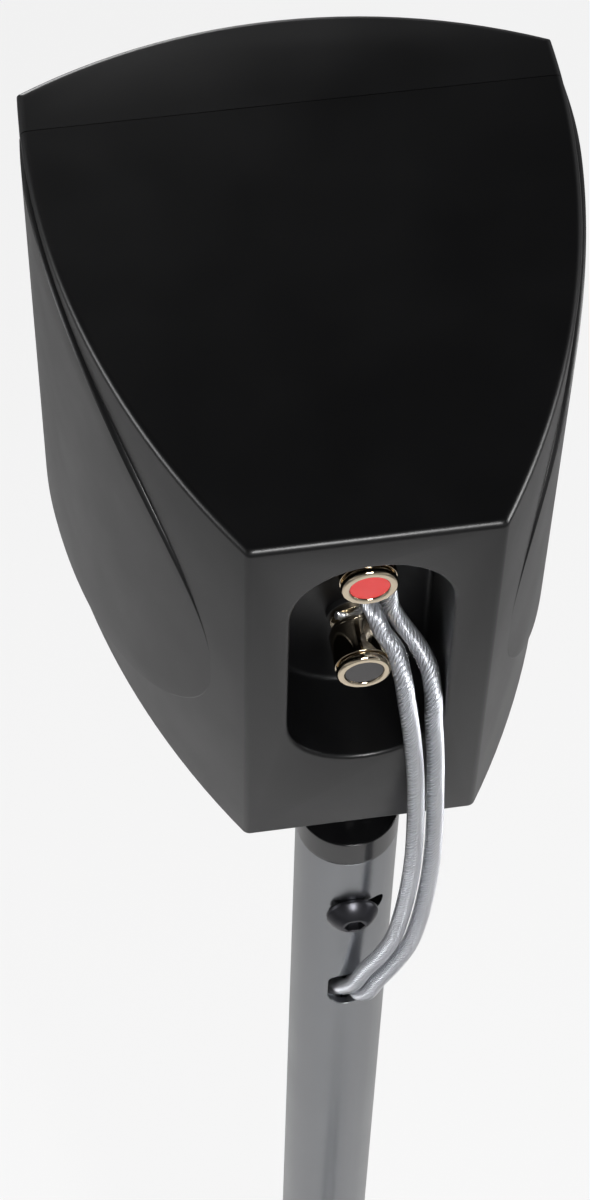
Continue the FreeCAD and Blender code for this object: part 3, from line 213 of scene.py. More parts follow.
# Resin-treated cotton: the yellow cloth of the spider, painted darker between the threads as painted shade.
TREATED_COTTON = Finish(
    "spider_cloth", "#b48f52", "#94723c", roughness=0.85, texture=Texture.WEAVE, spacing_mm=0.9
)
# Coated silk: a near-black dome with a soft glow at its rim.
COATED_SILK = Finish(
    "dome_silk", "#1d1d1f", roughness=0.5, sheen=0.3, texture=Texture.WEAVE, spacing_mm=0.7
)
# Perforated steel sheet: black, with rows of holes, which are drawn 2.6 mm apart, where real ones are
# about 2 mm, so that they show. The holes are only painted on the sheet, near black, as painted shade
# for the box behind them.
PERFORATED_STEEL = Finish(
    "grille_mesh", "#1d1d1e", "#050505", roughness=0.45, texture=Texture.HOLES, spacing_mm=2.6, depth_mm=0.4
)
# Glass-epoxy laminate: green solder resist with a wet gloss.
EPOXY_LAMINATE = Finish("board_laminate", "#28543a", "#1f4630", roughness=0.3, coat=0.3, spacing_mm=3.0)
# Polyester film sleeve: glossy amber round each capacitor.
FILM_SLEEVE = Finish("capacitor_sleeve", "#b8952f", roughness=0.2, coat=0.4, edge_mm=0.6)
# Fired ceramic: chalky white block.
CERAMIC = Finish("resistor_ceramic", "#dad6ca", roughness=0.7, spacing_mm=0.8, depth_mm=0.05, edge_mm=0.4)
# Polyester wadding: loose white fibres, painted grey in the hollows among them as painted shade.
WADDING = Finish(
    "wadding", "#dcdbd6", "#b9b8b2", roughness=0.95, texture=Texture.FIBRE, spacing_mm=3.0, depth_mm=1.2
)
# Clear soft PVC: the strands show through it, brighter in the middle and grey at its edges.
CLEAR_PVC = Finish("clear_pvc", "#eef0f4", roughness=0.08, ior=1.42, clear=1.0, depth_mm=0.0, uneven=0.02)
# Tinned copper strands: white metal that sparkles along the twist.
TINNED_COPPER = Finish(
    "tinned_strands", "#e6e7ea", roughness=0.3, metallic=0.92, spacing_mm=0.5, depth_mm=0.01
)


class MaterialMaker:
    """Makes one Blender material for each finish."""

    drawn_stretch = 60
    hole_rim = (0.27, 0.33)
    wave_scale = 0.32
    wave_wobble = 0.3
    cloud_scale = 38.0
    smoothest = 0.02
    coat_roughness = 0.08
    bevel_samples = 6

    def __init__(self) -> None:
        """Start with no materials."""
        self.made: dict[str, bpy.types.Material] = {}

    @staticmethod
    def add(
        tree: bpy.types.NodeTree,
        kind: str,
        links: dict | None = None,
        values: dict | None = None,
        **settings,
    ) -> bpy.types.Node:
        """Add a node, set it up and link its inputs.

        Args:
            tree: the node tree it goes in.
            kind: the node's type, without the ShaderNode in front.
            links: input name or number to the output socket that feeds it.
            values: input number to its value, where its name stands for several inputs.
            settings: properties of the node, or values of its inputs by name with underscores.

        Returns:
            The node.
        """
        node = tree.nodes.new("ShaderNode" + kind)
        for name, value in settings.items():
            if hasattr(node, name):
                setattr(node, name, value)
            else:
                node.inputs[name.replace("_", " ")].default_value = value
        for number, value in (values or {}).items():
            node.inputs[number].default_value = value
        for name, socket in (links or {}).items():
            tree.links.new(socket, node.inputs[name])
        return node

    def pattern(self, tree: bpy.types.NodeTree, finish: Finish) -> bpy.types.NodeSocket:
        """Draw the finish's surface pattern in real millimetres.

        Args:
            tree: the material's node tree.
            finish: the finish.

        Returns:
            A socket that runs from 0 in the pattern's hollows to 1 on its tops.
        """
        place = self.add(tree, "TexCoord").outputs["Object"]
        per_metre = 1 / (finish.spacing_mm * MM)
        if finish.texture is Texture.DRAWN:
            scale = (per_metre, per_metre, per_metre / self.drawn_stretch)
            stretched = self.add(tree, "Mapping", {"Vector": place}, Scale=scale)
            noise = self.add(tree, "TexNoise", {"Vector": stretched.outputs[0]}, Scale=1.0, Detail=3.0)
            return noise.outputs[0]
        scaled = self.add(tree, "Mapping", {"Vector": place}, Scale=(per_metre,) * 3).outputs[0]
        if finish.texture is Texture.HOLES:
            parts = self.add(tree, "SeparateXYZ", {"Vector": scaled})
            flat = self.add(tree, "CombineXYZ", {"X": parts.outputs["X"], "Y": parts.outputs["Z"]})
            eighth = (0.0, 0.0, math.radians(45))
            turned = self.add(tree, "Mapping", {"Vector": flat.outputs[0]}, Rotation=eighth)
            cells = self.add(
                tree,
                "TexVoronoi",
                {"Vector": turned.outputs[0]},
                voronoi_dimensions="2D",
                Scale=1.0,
                Randomness=0.0,
            )
            first, last = self.hole_rim
            ramp = self.add(
                tree, "MapRange", {"Value": cells.outputs["Distance"]}, From_Min=first, From_Max=last
            )
            return ramp.outputs[0]
        if finish.texture in (Texture.WEAVE, Texture.WINDING):
            waves = [
                self.add(
                    tree,
                    "TexWave",
                    {"Vector": scaled},
                    bands_direction=direction,
                    Scale=self.wave_scale,
                    Distortion=self.wave_wobble,
                ).outputs["Fac"]
                for direction in (("X", "Z") if finish.texture is Texture.WEAVE else ("DIAGONAL",))
            ]
            if len(waves) == 1:
                return waves[0]
            return self.add(tree, "Math", {0: waves[0], 1: waves[1]}, operation="MAXIMUM").outputs[0]
        if finish.texture is Texture.FIBRE:
            fibres = self.add(
                tree, "TexNoise", {"Vector": scaled}, Scale=1.0, Detail=8.0, Distortion=1.6, Roughness=0.7
            )
            return fibres.outputs[0]
        grain = self.add(tree, "TexNoise", {"Vector": scaled}, Scale=1.0, Detail=2.0, Roughness=0.6)
        return grain.outputs[0]

    def material(self, finish: Finish) -> bpy.types.Material:
        """Make the finish's material, or find it if it is made already.

        Args:
            finish: the finish.

        Returns:
            The material.
        """
        if finish.slot in self.made:
            return self.made[finish.slot]
        material = bpy.data.materials.new(finish.slot)
        material.use_nodes = True
        tree = material.node_tree
        tree.nodes.clear()
        shader = self.add(
            tree,
            "BsdfPrincipled",
            Base_Color=linear(finish.colour),
            Roughness=finish.roughness,
            Metallic=finish.metallic,
            IOR=finish.ior,
            Coat_Weight=finish.coat,
            Coat_Roughness=self.coat_roughness,
            Sheen_Weight=finish.sheen,
            Transmission_Weight=finish.clear,
        )
        surface = shader
        if finish.clear:
            # Lamp light passes straight through a clear sleeve, so that what is inside it is lit.
            shadow = self.add(tree, "LightPath").outputs["Is Shadow Ray"]
            open_air = self.add(tree, "BsdfTransparent")
            surface = self.add(tree, "MixShader", {0: shadow, 1: shader.outputs[0], 2: open_air.outputs[0]})
        self.add(tree, "OutputMaterial", {"Surface": surface.outputs[0]})
        height = self.pattern(tree, finish)
        # The second colour fills the pattern's hollows: painted shade in the grille's holes, between the
        # spider's threads and among the wadding's fibres, and a mottled tone on the board's laminate.
        if finish.second:
            ends = {"Color1": linear(finish.second), "Color2": linear(finish.colour)}
            mixed = self.add(tree, "MixRGB", {"Fac": height}, **ends)
            tree.links.new(mixed.outputs[0], shader.inputs["Base Color"])
        if finish.uneven:
            place = self.add(tree, "TexCoord").outputs["Object"]
            cloud = self.add(tree, "TexNoise", {"Vector": place}, Scale=self.cloud_scale, Detail=3.0)
            spread = self.add(
                tree,
                "MapRange",
                {"Value": cloud.outputs[0]},
                To_Min=max(finish.roughness - finish.uneven, self.smoothest),
                To_Max=finish.roughness + finish.uneven,
            )
            tree.links.new(spread.outputs[0], shader.inputs["Roughness"])
        normal = None
        if finish.edge_mm:
            bevel = self.add(tree, "Bevel", samples=self.bevel_samples, Radius=finish.edge_mm * MM)
            normal = bevel.outputs[0]
        if finish.depth_mm:
            bump = self.add(tree, "Bump", {"Height": height}, Strength=1.0, Distance=finish.depth_mm * MM)
            if normal:
                tree.links.new(normal, bump.inputs["Normal"])
            normal = bump.outputs[0]
        if normal:
            tree.links.new(normal, shader.inputs["Normal"])
        self.made[finish.slot] = material
        return material


MATERIALS = MaterialMaker()


# ---------------------------------------------------------------- making meshes


class Axis(Enum):
    """The way a turned piece's axis points, as the turn from +Z."""

    UP = 0
    REAR = -90
    FRONT = 90


class Carving(Enum):
    """What a boolean does with its tool."""

    CUT = "DIFFERENCE"
    JOIN = "UNION"


def new_mesh(
    name: str, points: Iterable[Sequence[float]], faces: Iterable[Sequence[int]]
) -> bpy.types.Object:
    """Make an object from points in millimetres.

    Args:
        name: the object's name.
        points: corners in the row frame.
        faces: each face's corner numbers.

    Returns:
        The object, smooth except at sharp edges.
    """
    mesh = bpy.data.meshes.new(name)
    mesh.from_pydata([Vector(point) * MM for point in points], [], [list(face) for face in faces])
    mesh.validate()
    shaping = bmesh.new()
    shaping.from_mesh(mesh)
    bmesh.ops.recalc_face_normals(shaping, faces=shaping.faces)
    shaping.to_mesh(mesh)
    shaping.free()
    smooth(mesh)
    thing = bpy.data.objects.new(name, mesh)
    bpy.context.scene.collection.objects.link(thing)
    return thing


def smooth(mesh: bpy.types.Mesh, angle: float = 32.0) -> None:
    """Shade a mesh smooth, but for its sharp edges.

    Args:
        mesh: the mesh.
        angle: the sharpest edge that is shaded smooth, in degrees.
    """
    mesh.polygons.foreach_set("use_smooth", [True] * len(mesh.polygons))
    mesh.set_sharp_from_angle(angle=math.radians(angle))
    mesh.update()


def strip(rings: int, across: int, closed: bool = True) -> list[list[int]]:
    """Number the four-cornered faces between rings of points.

    Args:
        rings: how many rings there are.
        across: how many points each has.
        closed: whether each ring joins up with itself.

    Returns:
        The faces.
    """
    faces = []
    for i in range(rings - 1):
        for j in range(across if closed else across - 1):
            k = (j + 1) % across
            faces.append([i * across + j, i * across + k, (i + 1) * across + k, (i + 1) * across + j])
    return faces


def lofted(name: str, rings: Sequence[Sequence[Sequence[float]]]) -> bpy.types.Object:
    """Skin a row of closed rings, and close both ends.

    Args:
        name: the object's name.
        rings: the rings, counter-clockwise seen from the last one's end.

    Returns:
        The object.
    """
    across = len(rings[0])
    faces = strip(len(rings), across)
    faces.append(list(range(across))[::-1])
    faces.append([(len(rings) - 1) * across + j for j in range(across)])
    return new_mesh(name, [point for ring in rings for point in ring], faces)


# The most of an edge that the rounding at one of its ends may take.
CORNER_SHARE = 0.45


def softened(profile: Sequence[Plan], radius: float, steps: int = 4) -> list[Plan]:
    """Round the corners of an open profile.

    Args:
        profile: its corners.
        radius: the rounding, less where two corners are close.
        steps: how many pieces each rounding gets.

    Returns:
        The rounded profile.
    """
    result = [profile[0]]
    for before, corner, after in zip(profile, profile[1:], profile[2:]):
        start, here, finish = Vector(before), Vector(corner), Vector(after)
        back, on = start - here, finish - here
        reach = min(radius, CORNER_SHARE * back.length, CORNER_SHARE * on.length)
        first, last = here + back.normalized() * reach, here + on.normalized() * reach
        for i in range(steps + 1):
            share = i / steps
            bent = first * (1 - share) ** 2 + here * 2 * share * (1 - share) + last * share**2
            result.append((bent.x, bent.y))
    result.append(profile[-1])
    return result


def lathed(
    name: str, profile: Sequence[Plan], centre: Sequence[float], axis: Axis = Axis.UP, sides: int = 72
) -> bpy.types.Object:
    """Turn a profile round an axis.

    Args:
        name: the object's name.
        profile: (radius, height) corners, up the outside first. A radius of 0 at an end closes it there,
            and a profile that ends where it starts makes a ring.
        centre: where the profile's height is 0, in millimetres.
        axis: the way the axis points.
        sides: how many faces go round.

    Returns:
        The object.
    """
    turn = Matrix.Rotation(math.radians(axis.value), 4, "X")
    ring_shaped = profile[0] == profile[-1]
    rows = profile[:-1] if ring_shaped else profile
    points, rings = [], []
    for radius, height in rows:
        count = sides if radius > 1e-6 else 1
        rings.append((len(points), count))
        for i in range(count):
            angle = 2 * math.pi * i / sides
            spot = turn @ Vector((radius * math.cos(angle), radius * math.sin(angle), height))
            points.append(spot + Vector(centre))
    faces = []
    pairs = list(zip(rings, rings[1:])) + ([(rings[-1], rings[0])] if ring_shaped else [])
    for (low, low_count), (high, high_count) in pairs:
        for i in range(sides):
            k = (i + 1) % sides
            corners = [low + i % low_count, low + k % low_count]
            corners += [high + k % high_count, high + i % high_count]
            face = list(dict.fromkeys(corners))
            if len(face) > 2:
                faces.append(face)
    return new_mesh(name, points, faces)


def carved(thing: bpy.types.Object, carving: Carving, *tools: bpy.types.Object) -> bpy.types.Object:
    """Cut tools out of an object, or join them to it, and delete the tools.

    Args:
        thing: the object.
        carving: what to do.
        tools: the tools.

    Returns:
        The object, with its new mesh.
    """
    for tool in tools:
        change = thing.modifiers.new("carving", "BOOLEAN")
        change.operation = carving.value
        change.solver = "EXACT"
        change.object = tool
        scene_now = bpy.context.evaluated_depsgraph_get()
        settled = bpy.data.meshes.new_from_object(thing.evaluated_get(scene_now))
        thing.modifiers.clear()
        thing.data = settled
        bpy.data.objects.remove(tool, do_unlink=True)
    smooth(thing.data)
    return thing


def joined(name: str, things: Sequence[bpy.types.Object]) -> bpy.types.Object:
    """Put several objects' meshes in one object, and delete them.

    Args:
        name: the new object's name.
        things: the objects.

    Returns:
        The new object.
    """
    points, faces = [], []
    for thing in things:
        first = len(points)
        points += [thing.matrix_world @ corner.co / MM for corner in thing.data.vertices]
        faces += [[first + k for k in face.vertices] for face in thing.data.polygons]
        bpy.data.objects.remove(thing, do_unlink=True)
    return new_mesh(name, points, faces)


def dress(thing: bpy.types.Object, finish: Finish, body: str = "") -> bpy.types.Object:
    """Give an object its finish, and the body it moves with.

    Args:
        thing: the object.
        finish: its finish.
        body: the CAD body, or nothing for a CAD node or a piece that runs between bodies.

    Returns:
        The object.
    """
    thing.data.materials.clear()
    thing.data.materials.append(MATERIALS.material(finish))
    if body:
        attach(thing, body)
    log.info("%s: %s, %d faces", thing.name, finish.slot, len(thing.data.polygons))
    return thing


def dress_nodes(finishes: dict[str, Finish]) -> None:
    """Give CAD nodes that are shown as they are their finishes.

    Args:
        finishes: node name to finish.
    """
    for name, finish in finishes.items():
        dress(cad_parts[name], finish)


# ---------------------------------------------------------------- cable paths


def smooth_path(points: Sequence[Point], step: float) -> list[Vector]:
    """Run a smooth curve through points, and space it evenly.

    Args:
        points: the points, in millimetres.
        step: the spacing, in millimetres.

    Returns:
        The curve's points.
    """
    knots = [Vector(point) for point in points]
    spans = [(b - a).length for a, b in zip(knots, knots[1:])]
    slopes = [(b - a) / span for a, b, span in zip(knots, knots[1:], spans)]
    headings = slopes[:1]
    for one, two, before, after in zip(spans, spans[1:], slopes, slopes[1:]):
        headings.append((before * two + after * one) / (one + two))
    headings.append(slopes[-1])
    dense = []
    for here, following, span, out, into in zip(knots, knots[1:], spans, headings, headings[1:]):
        count = max(int(2 * span), 4)
        for i in range(count):
            t = i / count
            bend = out * (t * (1 - t) ** 2 * span) - into * (t * t * (1 - t) * span)
            dense.append(here * (2 * t**3 - 3 * t * t + 1) + following * (3 * t * t - 2 * t**3) + bend)
    dense.append(knots[-1])
    total = path_length(dense)
    count = max(round(total / step), 2)
    spaced, gone, target = [dense[0]], 0.0, total / count
    for p, q in zip(dense, dense[1:]):
        length = (q - p).length
        while gone + length >= target and len(spaced) < count:
            spaced.append(p.lerp(q, (target - gone) / length))
            target += total / count
        gone += length
    spaced.append(dense[-1])
    return spaced


def path_length(path: Sequence[Vector]) -> float:
    """A path's length, in its own units."""
    return sum((q - p).length for p, q in zip(path, path[1:]))


def path_frames(path: Sequence[Vector], level: bool) -> list[tuple[Vector, Vector]]:
    """Find the two directions across a path at each of its points.

    Args:
        path: the path.
        level: keep the first direction level, as a flat cable that lies down has it. If not, it is carried
            along without twisting.

    Returns:
        The two directions at each point.
    """
    frames = []
    side = Vector((1.0, 0.0, 0.0))
    for i in range(len(path)):
        along = (path[min(i + 1, len(path) - 1)] - path[max(i - 1, 0)]).normalized()
        if level:
            side = along.cross(Vector((0.0, 0.0, 1.0)))
        else:
            side = side - along * side.dot(along)
        side.normalize()
        frames.append((side.copy(), along.cross(side)))
    return frames


def swept(
    name: str,
    path: Sequence[Vector],
    section: Section,
    level: bool = False,
    offset: float = 0.0,
) -> bpy.types.Object:
    """Sweep a section along a path.

    Args:
        name: the object's name.
        path: the path, in millimetres.
        section: from the distance along the path to the section's points, counter-clockwise.
        level: as in path_frames.
        offset: how far to the side of the path it runs.

    Returns:
        The object.
    """
    rings, gone = [], 0.0
    for i, (here, (side, up)) in enumerate(zip(path, path_frames(path, level))):
        if i:
            gone += (here - path[i - 1]).length
        rings.append([here + side * (x + offset) + up * y for x, y in section(gone)])
    return lofted(name, rings)


def round_section(radius: float, sides: int) -> Section:
    """A plain round section.

    Args:
        radius: its radius.
        sides: how many points it has.

    Returns:
        The section.
    """
    angles = [2 * math.pi * i / sides for i in range(sides)]
    return lambda gone: [(radius * math.cos(a), radius * math.sin(a)) for a in angles]


def stranded_section(
    radius: float, strands: int, lay: float, points_each: int = 4, depth: float = 0.36
) -> Section:
    """A bundle of twisted strands, whose outline turns as it goes.

    Args:
        radius: the bundle's radius.
        strands: how many strands show round it.
        lay: the length in which it turns once.
        points_each: how many points each strand's ridge has.
        depth: how deep the valleys between strands are.

    Returns:
        The section.
    """
    sides = strands * points_each
    reaches = [radius - depth * (1 - abs(math.sin(math.pi * i / points_each))) for i in range(sides)]

    def section(gone: float) -> list[Plan]:
        """The outline at a distance along the bundle."""
        angles = [2 * math.pi * (i / sides + gone / lay) for i in range(sides)]
        return [(reach * math.cos(a), reach * math.sin(a)) for reach, a in zip(reaches, angles)]

    return section


def twin_section(radius: float, web: float, steps: int = 12) -> Section:
    """The figure-of-eight outline of a flat twin cable.

    Args:
        radius: each half's radius.
        web: half the angle, in degrees, where a half meets the other.
        steps: how many pieces each half gets.

    Returns:
        The section.
    """
    outline = []
    for centre, facing in ((radius, 180.0), (-radius, 0.0)):
        for i in range(steps + 1):
            angle = math.radians(facing + web + (360 - 2 * web) * i / steps)
            outline.append((centre + radius * math.cos(angle), radius * math.sin(angle)))
    return lambda gone: outline


# ---------------------------------------------------------------- the loudspeaker's box


@dataclass
class PlanOutline:
    """The loudspeaker's plan: a flat rear, one arc for each side and a bowed front."""

    rear_width: float = 58.0
    middle_width: float = 103.6
    middle_depth: float = 45.0
    front_width: float = 130.2
    corner_depth: float = 137.5
    front_bow: float = 15.1
    corner_pieces: int = 6
    corner_share: float = 0.48

    def __post_init__(self) -> None:
        """Find the circle of each side and of the front."""
        (ax, ay), (bx, by), (cx, cy) = (
            (self.rear_width / 2, 0.0),
            (self.middle_width / 2, self.middle_depth),
            (self.front_width / 2, self.corner_depth),
        )
        d = 2 * (ax * (by - cy) + bx * (cy - ay) + cx * (ay - by))
        a, b, c = ax**2 + ay**2, bx**2 + by**2, cx**2 + cy**2
        self.side_x = (a * (by - cy) + b * (cy - ay) + c * (ay - by)) / d
        self.side_depth = (a * (cx - bx) + b * (ax - cx) + c * (bx - ax)) / d
        self.side_radius = math.hypot(ax - self.side_x, ay - self.side_depth)
        half = self.front_width / 2
        self.bow_radius = (half**2 + self.front_bow**2) / (2 * self.front_bow)
        self.bow_depth = self.corner_depth + self.front_bow - self.bow_radius

    def half_width(self, depth: float, inset: float = 0.0) -> float:
        """Half the width at a depth, less an inset."""
        return self.side_x + math.sqrt((self.side_radius - inset) ** 2 - (depth - self.side_depth) ** 2)

    def side_normal(self, depth: float) -> Vector:
        """The way the +X side faces at a depth."""
        return Vector((self.half_width(depth) - self.side_x, self.side_depth - depth, 0.0)).normalized()

    def bow_at(self, x: float, inset: float = 0.0) -> float:
        """The bowed front's depth at a distance from the middle, less an inset."""
        return self.bow_depth + math.sqrt((self.bow_radius - inset) ** 2 - x**2)

    def loop(
        self,
        start: float,
        finish: float,
        inset: float = 0.0,
        rear_corner: float = 0.0,
        bowed: bool = False,
        front_corner: float = 0.0,
        steps: int = 26,
    ) -> list[Plan]:
        """The outline between two depths, as (x, y) points.

        Args:
            start: the depth it starts at.
            finish: the depth it ends at, where the front is straight.
            inset: how far it lies inside the full outline.
            rear_corner: the rounding of its rear corners.
            bowed: end it with the bowed front.
            front_corner: the rounding of its front corners.
            steps: how many pieces each side gets.

        Returns:
            The points, counter-clockwise seen from above.
        """
        if bowed:
            finish = self.corner_depth
            # Each round brings the depth closer to where the side meets the bow.
            for _ in range(12):
                finish = self.bow_at(self.half_width(finish, inset), inset)
        depths = [start + (finish - start) * i / steps for i in range(steps + 1)]
        side = [Vector((self.half_width(depth, inset), depth)) for depth in depths]
        front = []
        if bowed:
            half = side[-1].x
            across = [half * (1 - 2 * i / steps) for i in range(1, steps)]
            front = [Vector((x, self.bow_at(x, inset))) for x in across]
        points = [*side, *front, *(Vector((-point.x, point.y)) for point in reversed(side))]
        last = len(side) - 1
        after = last + len(front) + 1
        roundings = {0: rear_corner, len(points) - 1: rear_corner, last: front_corner, after: front_corner}
        outline = []
        for i, here in enumerate(points):
            radius = roundings.get(i, 0.0)
            if radius <= 0:
                outline.append(here)
                continue
            before, following = points[i - 1] - here, points[(i + 1) % len(points)] - here
            back, on = before.normalized(), following.normalized()
            half_turn = (math.pi - back.angle(on)) / 2
            most = self.corner_share * min(before.length, following.length)
            reach = min(radius * math.tan(half_turn), most)
            radius = reach / math.tan(half_turn)
            centre = here + (back + on).normalized() * (radius / math.cos(half_turn))
            first, final = here + back * reach - centre, here + on * reach - centre
            sweep = first.angle_signed(final)
            for k in range(self.corner_pieces + 1):
                angle = -sweep * k / self.corner_pieces
                cosine, sine = math.cos(angle), math.sin(angle)
                turned = Vector((first.x * cosine - first.y * sine, first.x * sine + first.y * cosine))
                outline.append(centre + turned)
        return [(point.x, REAR_Y - point.y) for point in outline][::-1]


OUTLINE = PlanOutline()


def rounded_levels(low: float, high: float, rounding: float, steps: int = 5) -> list[tuple[float, float]]:
    """Levels of a block whose top and bottom edges are rounded.

    Args:
        low: its underside.
        high: its top.
        rounding: its edges' radius.
        steps: how many pieces each rounding gets.

    Returns:
        (height, inset) pairs from the bottom up.
    """
    angles = [math.pi / 2 * i / steps for i in range(steps + 1)]
    lower = [(low + rounding * (1 - math.sin(a)), rounding * (1 - math.cos(a))) for a in reversed(angles)]
    return lower + [(high - (height - low), inset) for height, inset in reversed(lower)]


def obround_ring(width: float, height: float, y: float, z: float, steps: int = 18) -> list[Vector]:
    """A tall round-ended ring on the middle plane, which faces +Y.

    Args:
        width: its width.
        height: its height over its round ends.
        y: how far back it is.
        z: its centre's height.
        steps: how many pieces each round end gets.

    Returns:
        Its points.
    """
    radius, straight = width / 2, (height - width) / 2
    ring = []
    for level, start in ((z + straight, 0.0), (z - straight, math.pi)):
        for i in range(steps + 1):
            angle = start + math.pi * i / steps
            ring.append(Vector((radius * math.cos(angle), y, level + radius * math.sin(angle))))
    return ring


@dataclass
class Cabinet:
    """The moulded box with its rounded edges, raised side panels and terminal cup."""

    edge_radius: float = 1.9
    rear_corner: float = 2.2
    wall: float = 4.0
    ledge: float = 3.0
    ledge_back: float = 116.0
    baffle_back: float = 119.2
    cup_width: float = 38.0
    cup_height: float = 85.8
    cup_drop: float = 11.7
    cup_depth: float = 23.0
    cup_wall: float = 2.5
    lip_radius: float = 1.1
    floor_radius: float = 1.5
    stem_hole: float = 2.8
    stem_reach: float = 6.0
    panel_start: float = 11.0
    panel_proud: float = 1.3
    panel_curve: float = 2.5
    panel_edge: float = 1.0
    panel_rear_fade: float = 34.0
    panel_seam_fade: float = 26.0
    panel_seam_share: float = 0.12
    panel_sunk: float = 0.04
    panel_under: float = 0.6
    panel_columns: int = 64
    panel_bunching: float = 1.6

    def __post_init__(self) -> None:
        """Read the box's heights and its seam's depth from the frame."""
        self.low, self.high = CABINET_LOW.z, CABINET_HIGH.z
        self.seam = REAR_Y - SEAM_Y
        self.middle = (self.low + self.high) / 2
        self.cup_level = self.high - self.cup_drop - self.cup_height / 2

    @staticmethod
    def block(
        name: str, start: float, finish: float, inset: float, low: float, high: float
    ) -> bpy.types.Object:
        """A plain block of the plan outline.

        Args:
            name: the object's name.
            start: the depth it starts at.
            finish: the depth it ends at.
            inset: how far inside the outline it lies.
            low: its underside.
            high: its top.

        Returns:
            The block.
        """
        loop = OUTLINE.loop(start, finish, inset)
        return lofted(name, [[(x, y, z) for x, y in loop] for z in (low, high)])

    def shell(self) -> bpy.types.Object:
        """Build the box: rounded outside, hollow inside, with the ledge that the baffle sits on.

        Returns:
            The box.
        """
        rings = []
        for height, inset in rounded_levels(self.low, self.high, self.edge_radius):
            loop = OUTLINE.loop(inset, self.seam, inset, rear_corner=self.rear_corner)
            rings.append([(x, y, height) for x, y in loop])
        box = lofted("cabinet_shell", rings)
        low, high, wall = self.low, self.high, self.wall
        inner = wall + self.ledge
        hollow = self.block("hollow", wall, self.ledge_back, wall, low + wall, high - wall)
        past = self.seam + 2
        opening = self.block("opening", self.ledge_back - 1, past, inner, low + inner, high - inner)
        pocket = self.block("pocket", self.baffle_back, past, wall, low + wall, high - wall)
        return carved(box, Carving.CUT, hollow, opening, pocket)

    def cup_rings(self) -> list[list[Vector]]:
        """Rings of the cup's hollow, from its rounded lip to its rounded floor.

        Returns:
            The rings.
        """
        lip, bottom = self.lip_radius, self.floor_radius
        back = REAR_Y - self.cup_depth
        quarter = [math.pi / 2 * i / 5 for i in range(6)]
        stations = [(REAR_Y + 2, lip)]
        stations += [(REAR_Y - lip * (1 - math.sin(a)), lip * (1 - math.cos(a))) for a in reversed(quarter)]
        stations += [(back + bottom * (1 - math.sin(a)), bottom * (math.cos(a) - 1)) for a in quarter]
        return [self.cup_ring(y, grow) for y, grow in stations]

    def cup_ring(self, y: float, grow: float) -> list[Vector]:
        """The cup's outline at one level, grown all round."""
        return obround_ring(self.cup_width + 2 * grow, self.cup_height + 2 * grow, y, self.cup_level)

    def with_cup(self, box: bpy.types.Object) -> bpy.types.Object:
        """Sink the terminal cup into the box's rear.

        Args:
            box: the box.

        Returns:
            The box with its cup.
        """
        levels = (REAR_Y - self.wall / 2, REAR_Y - self.cup_depth - self.cup_wall)
        housing = [self.cup_ring(y, self.cup_wall) for y in levels]
        carved(box, Carving.JOIN, lofted("cup_housing", housing))
        carved(box, Carving.CUT, lofted("cup_hollow", self.cup_rings()))
        hole, reach = self.stem_hole, self.stem_reach
        for knob in ("knob_red", "knob_black"):
            low, high = node_box(knob)
            profile = [(0, -reach), (hole, -reach), (hole, reach), (0, reach)]
            centre = (0, REAR_Y - self.cup_depth, (low.z + high.z) / 2)
            carved(box, Carving.CUT, lathed("stem_hole", profile, centre, Axis.REAR, 24))
        return box

    def panel_reach(self, depth: float) -> float:
        """Half the raised panel's height.

        Args:
            depth: how far from the rear.

        Returns:
            The height.
        """
        share = (self.seam - depth) / (self.seam - self.panel_start)
        full = (self.high - self.low) / 2 - self.edge_radius
        return full * math.sqrt(max(1 - share**self.panel_curve, 0.0))

    def panel(self, side: int) -> bpy.types.Object:
        """Build one raised leaf-shaped panel, which fades out at its rear tip and at the seam.

        Args:
            side: 1 for the +X side, -1 for the other.

        Returns:
            The panel.
        """
        shoulder = (0.0, 0.12, 0.3, 0.55, 0.85, 1.2)
        inner = (0.08, 0.2, 0.4, 0.6, 0.8, 0.92)
        rear, front = self.panel_start + 0.05, self.seam - 0.1
        outer, under = [], []
        for i in range(self.panel_columns + 1):
            depth = rear + (front - rear) * (i / self.panel_columns) ** self.panel_bunching
            reach = self.panel_reach(depth)
            fade = min(1.0, (depth - self.panel_start) / self.panel_rear_fade)
            fade *= min(1.0, (self.seam - depth) / self.panel_seam_fade + self.panel_seam_share)
            proud = self.panel_proud * math.sin(fade * math.pi / 2)
            heights = []
            for edge in shoulder:
                rise = math.sin(min(edge / self.panel_edge, 1.0) * math.pi / 2)
                heights.append((min(edge, reach / 2) - reach, rise))
            first = -heights[-1][0]
            heights += [(first * (2 * share - 1), 1.0) for share in inner]
            heights += [(-height, rise) for height, rise in reversed(heights[: len(shoulder)])]
            normal = OUTLINE.side_normal(depth)
            base = Vector((OUTLINE.half_width(depth), REAR_Y - depth, self.middle))
            for height, rise in heights:
                for store, lift in ((outer, proud * rise - self.panel_sunk), (under, -self.panel_under)):
                    spot = base + normal * lift + Vector((0, 0, height))
                    store.append(Vector((spot.x * side, spot.y, spot.z)))
        rows, across, count = self.panel_columns + 1, len(heights), len(outer)
        faces = strip(rows, across, closed=False)
        faces += [[count + k for k in reversed(face)] for face in faces]
        border = list(range(across))
        border += [i * across + across - 1 for i in range(1, rows)]
        border += [(rows - 1) * across + j for j in range(across - 2, -1, -1)]
        border += [i * across for i in range(rows - 2, 0, -1)]
        faces += [[b, a, count + a, count + b] for a, b in zip(border, border[1:] + border[:1])]
        return new_mesh(f"side_panel_{'left' if side > 0 else 'right'}", outer + under, faces)

    def build(self) -> None:
        """Build the box and its panels in place of the CAD cabinet."""
        box = self.with_cup(self.shell())
        box.name = "cabinet_body"
        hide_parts("cabinet")
        dress(box, MOULDED_ABS, "head")
        for side in (1, -1):
            dress(self.panel(side), MOULDED_ABS, "head")


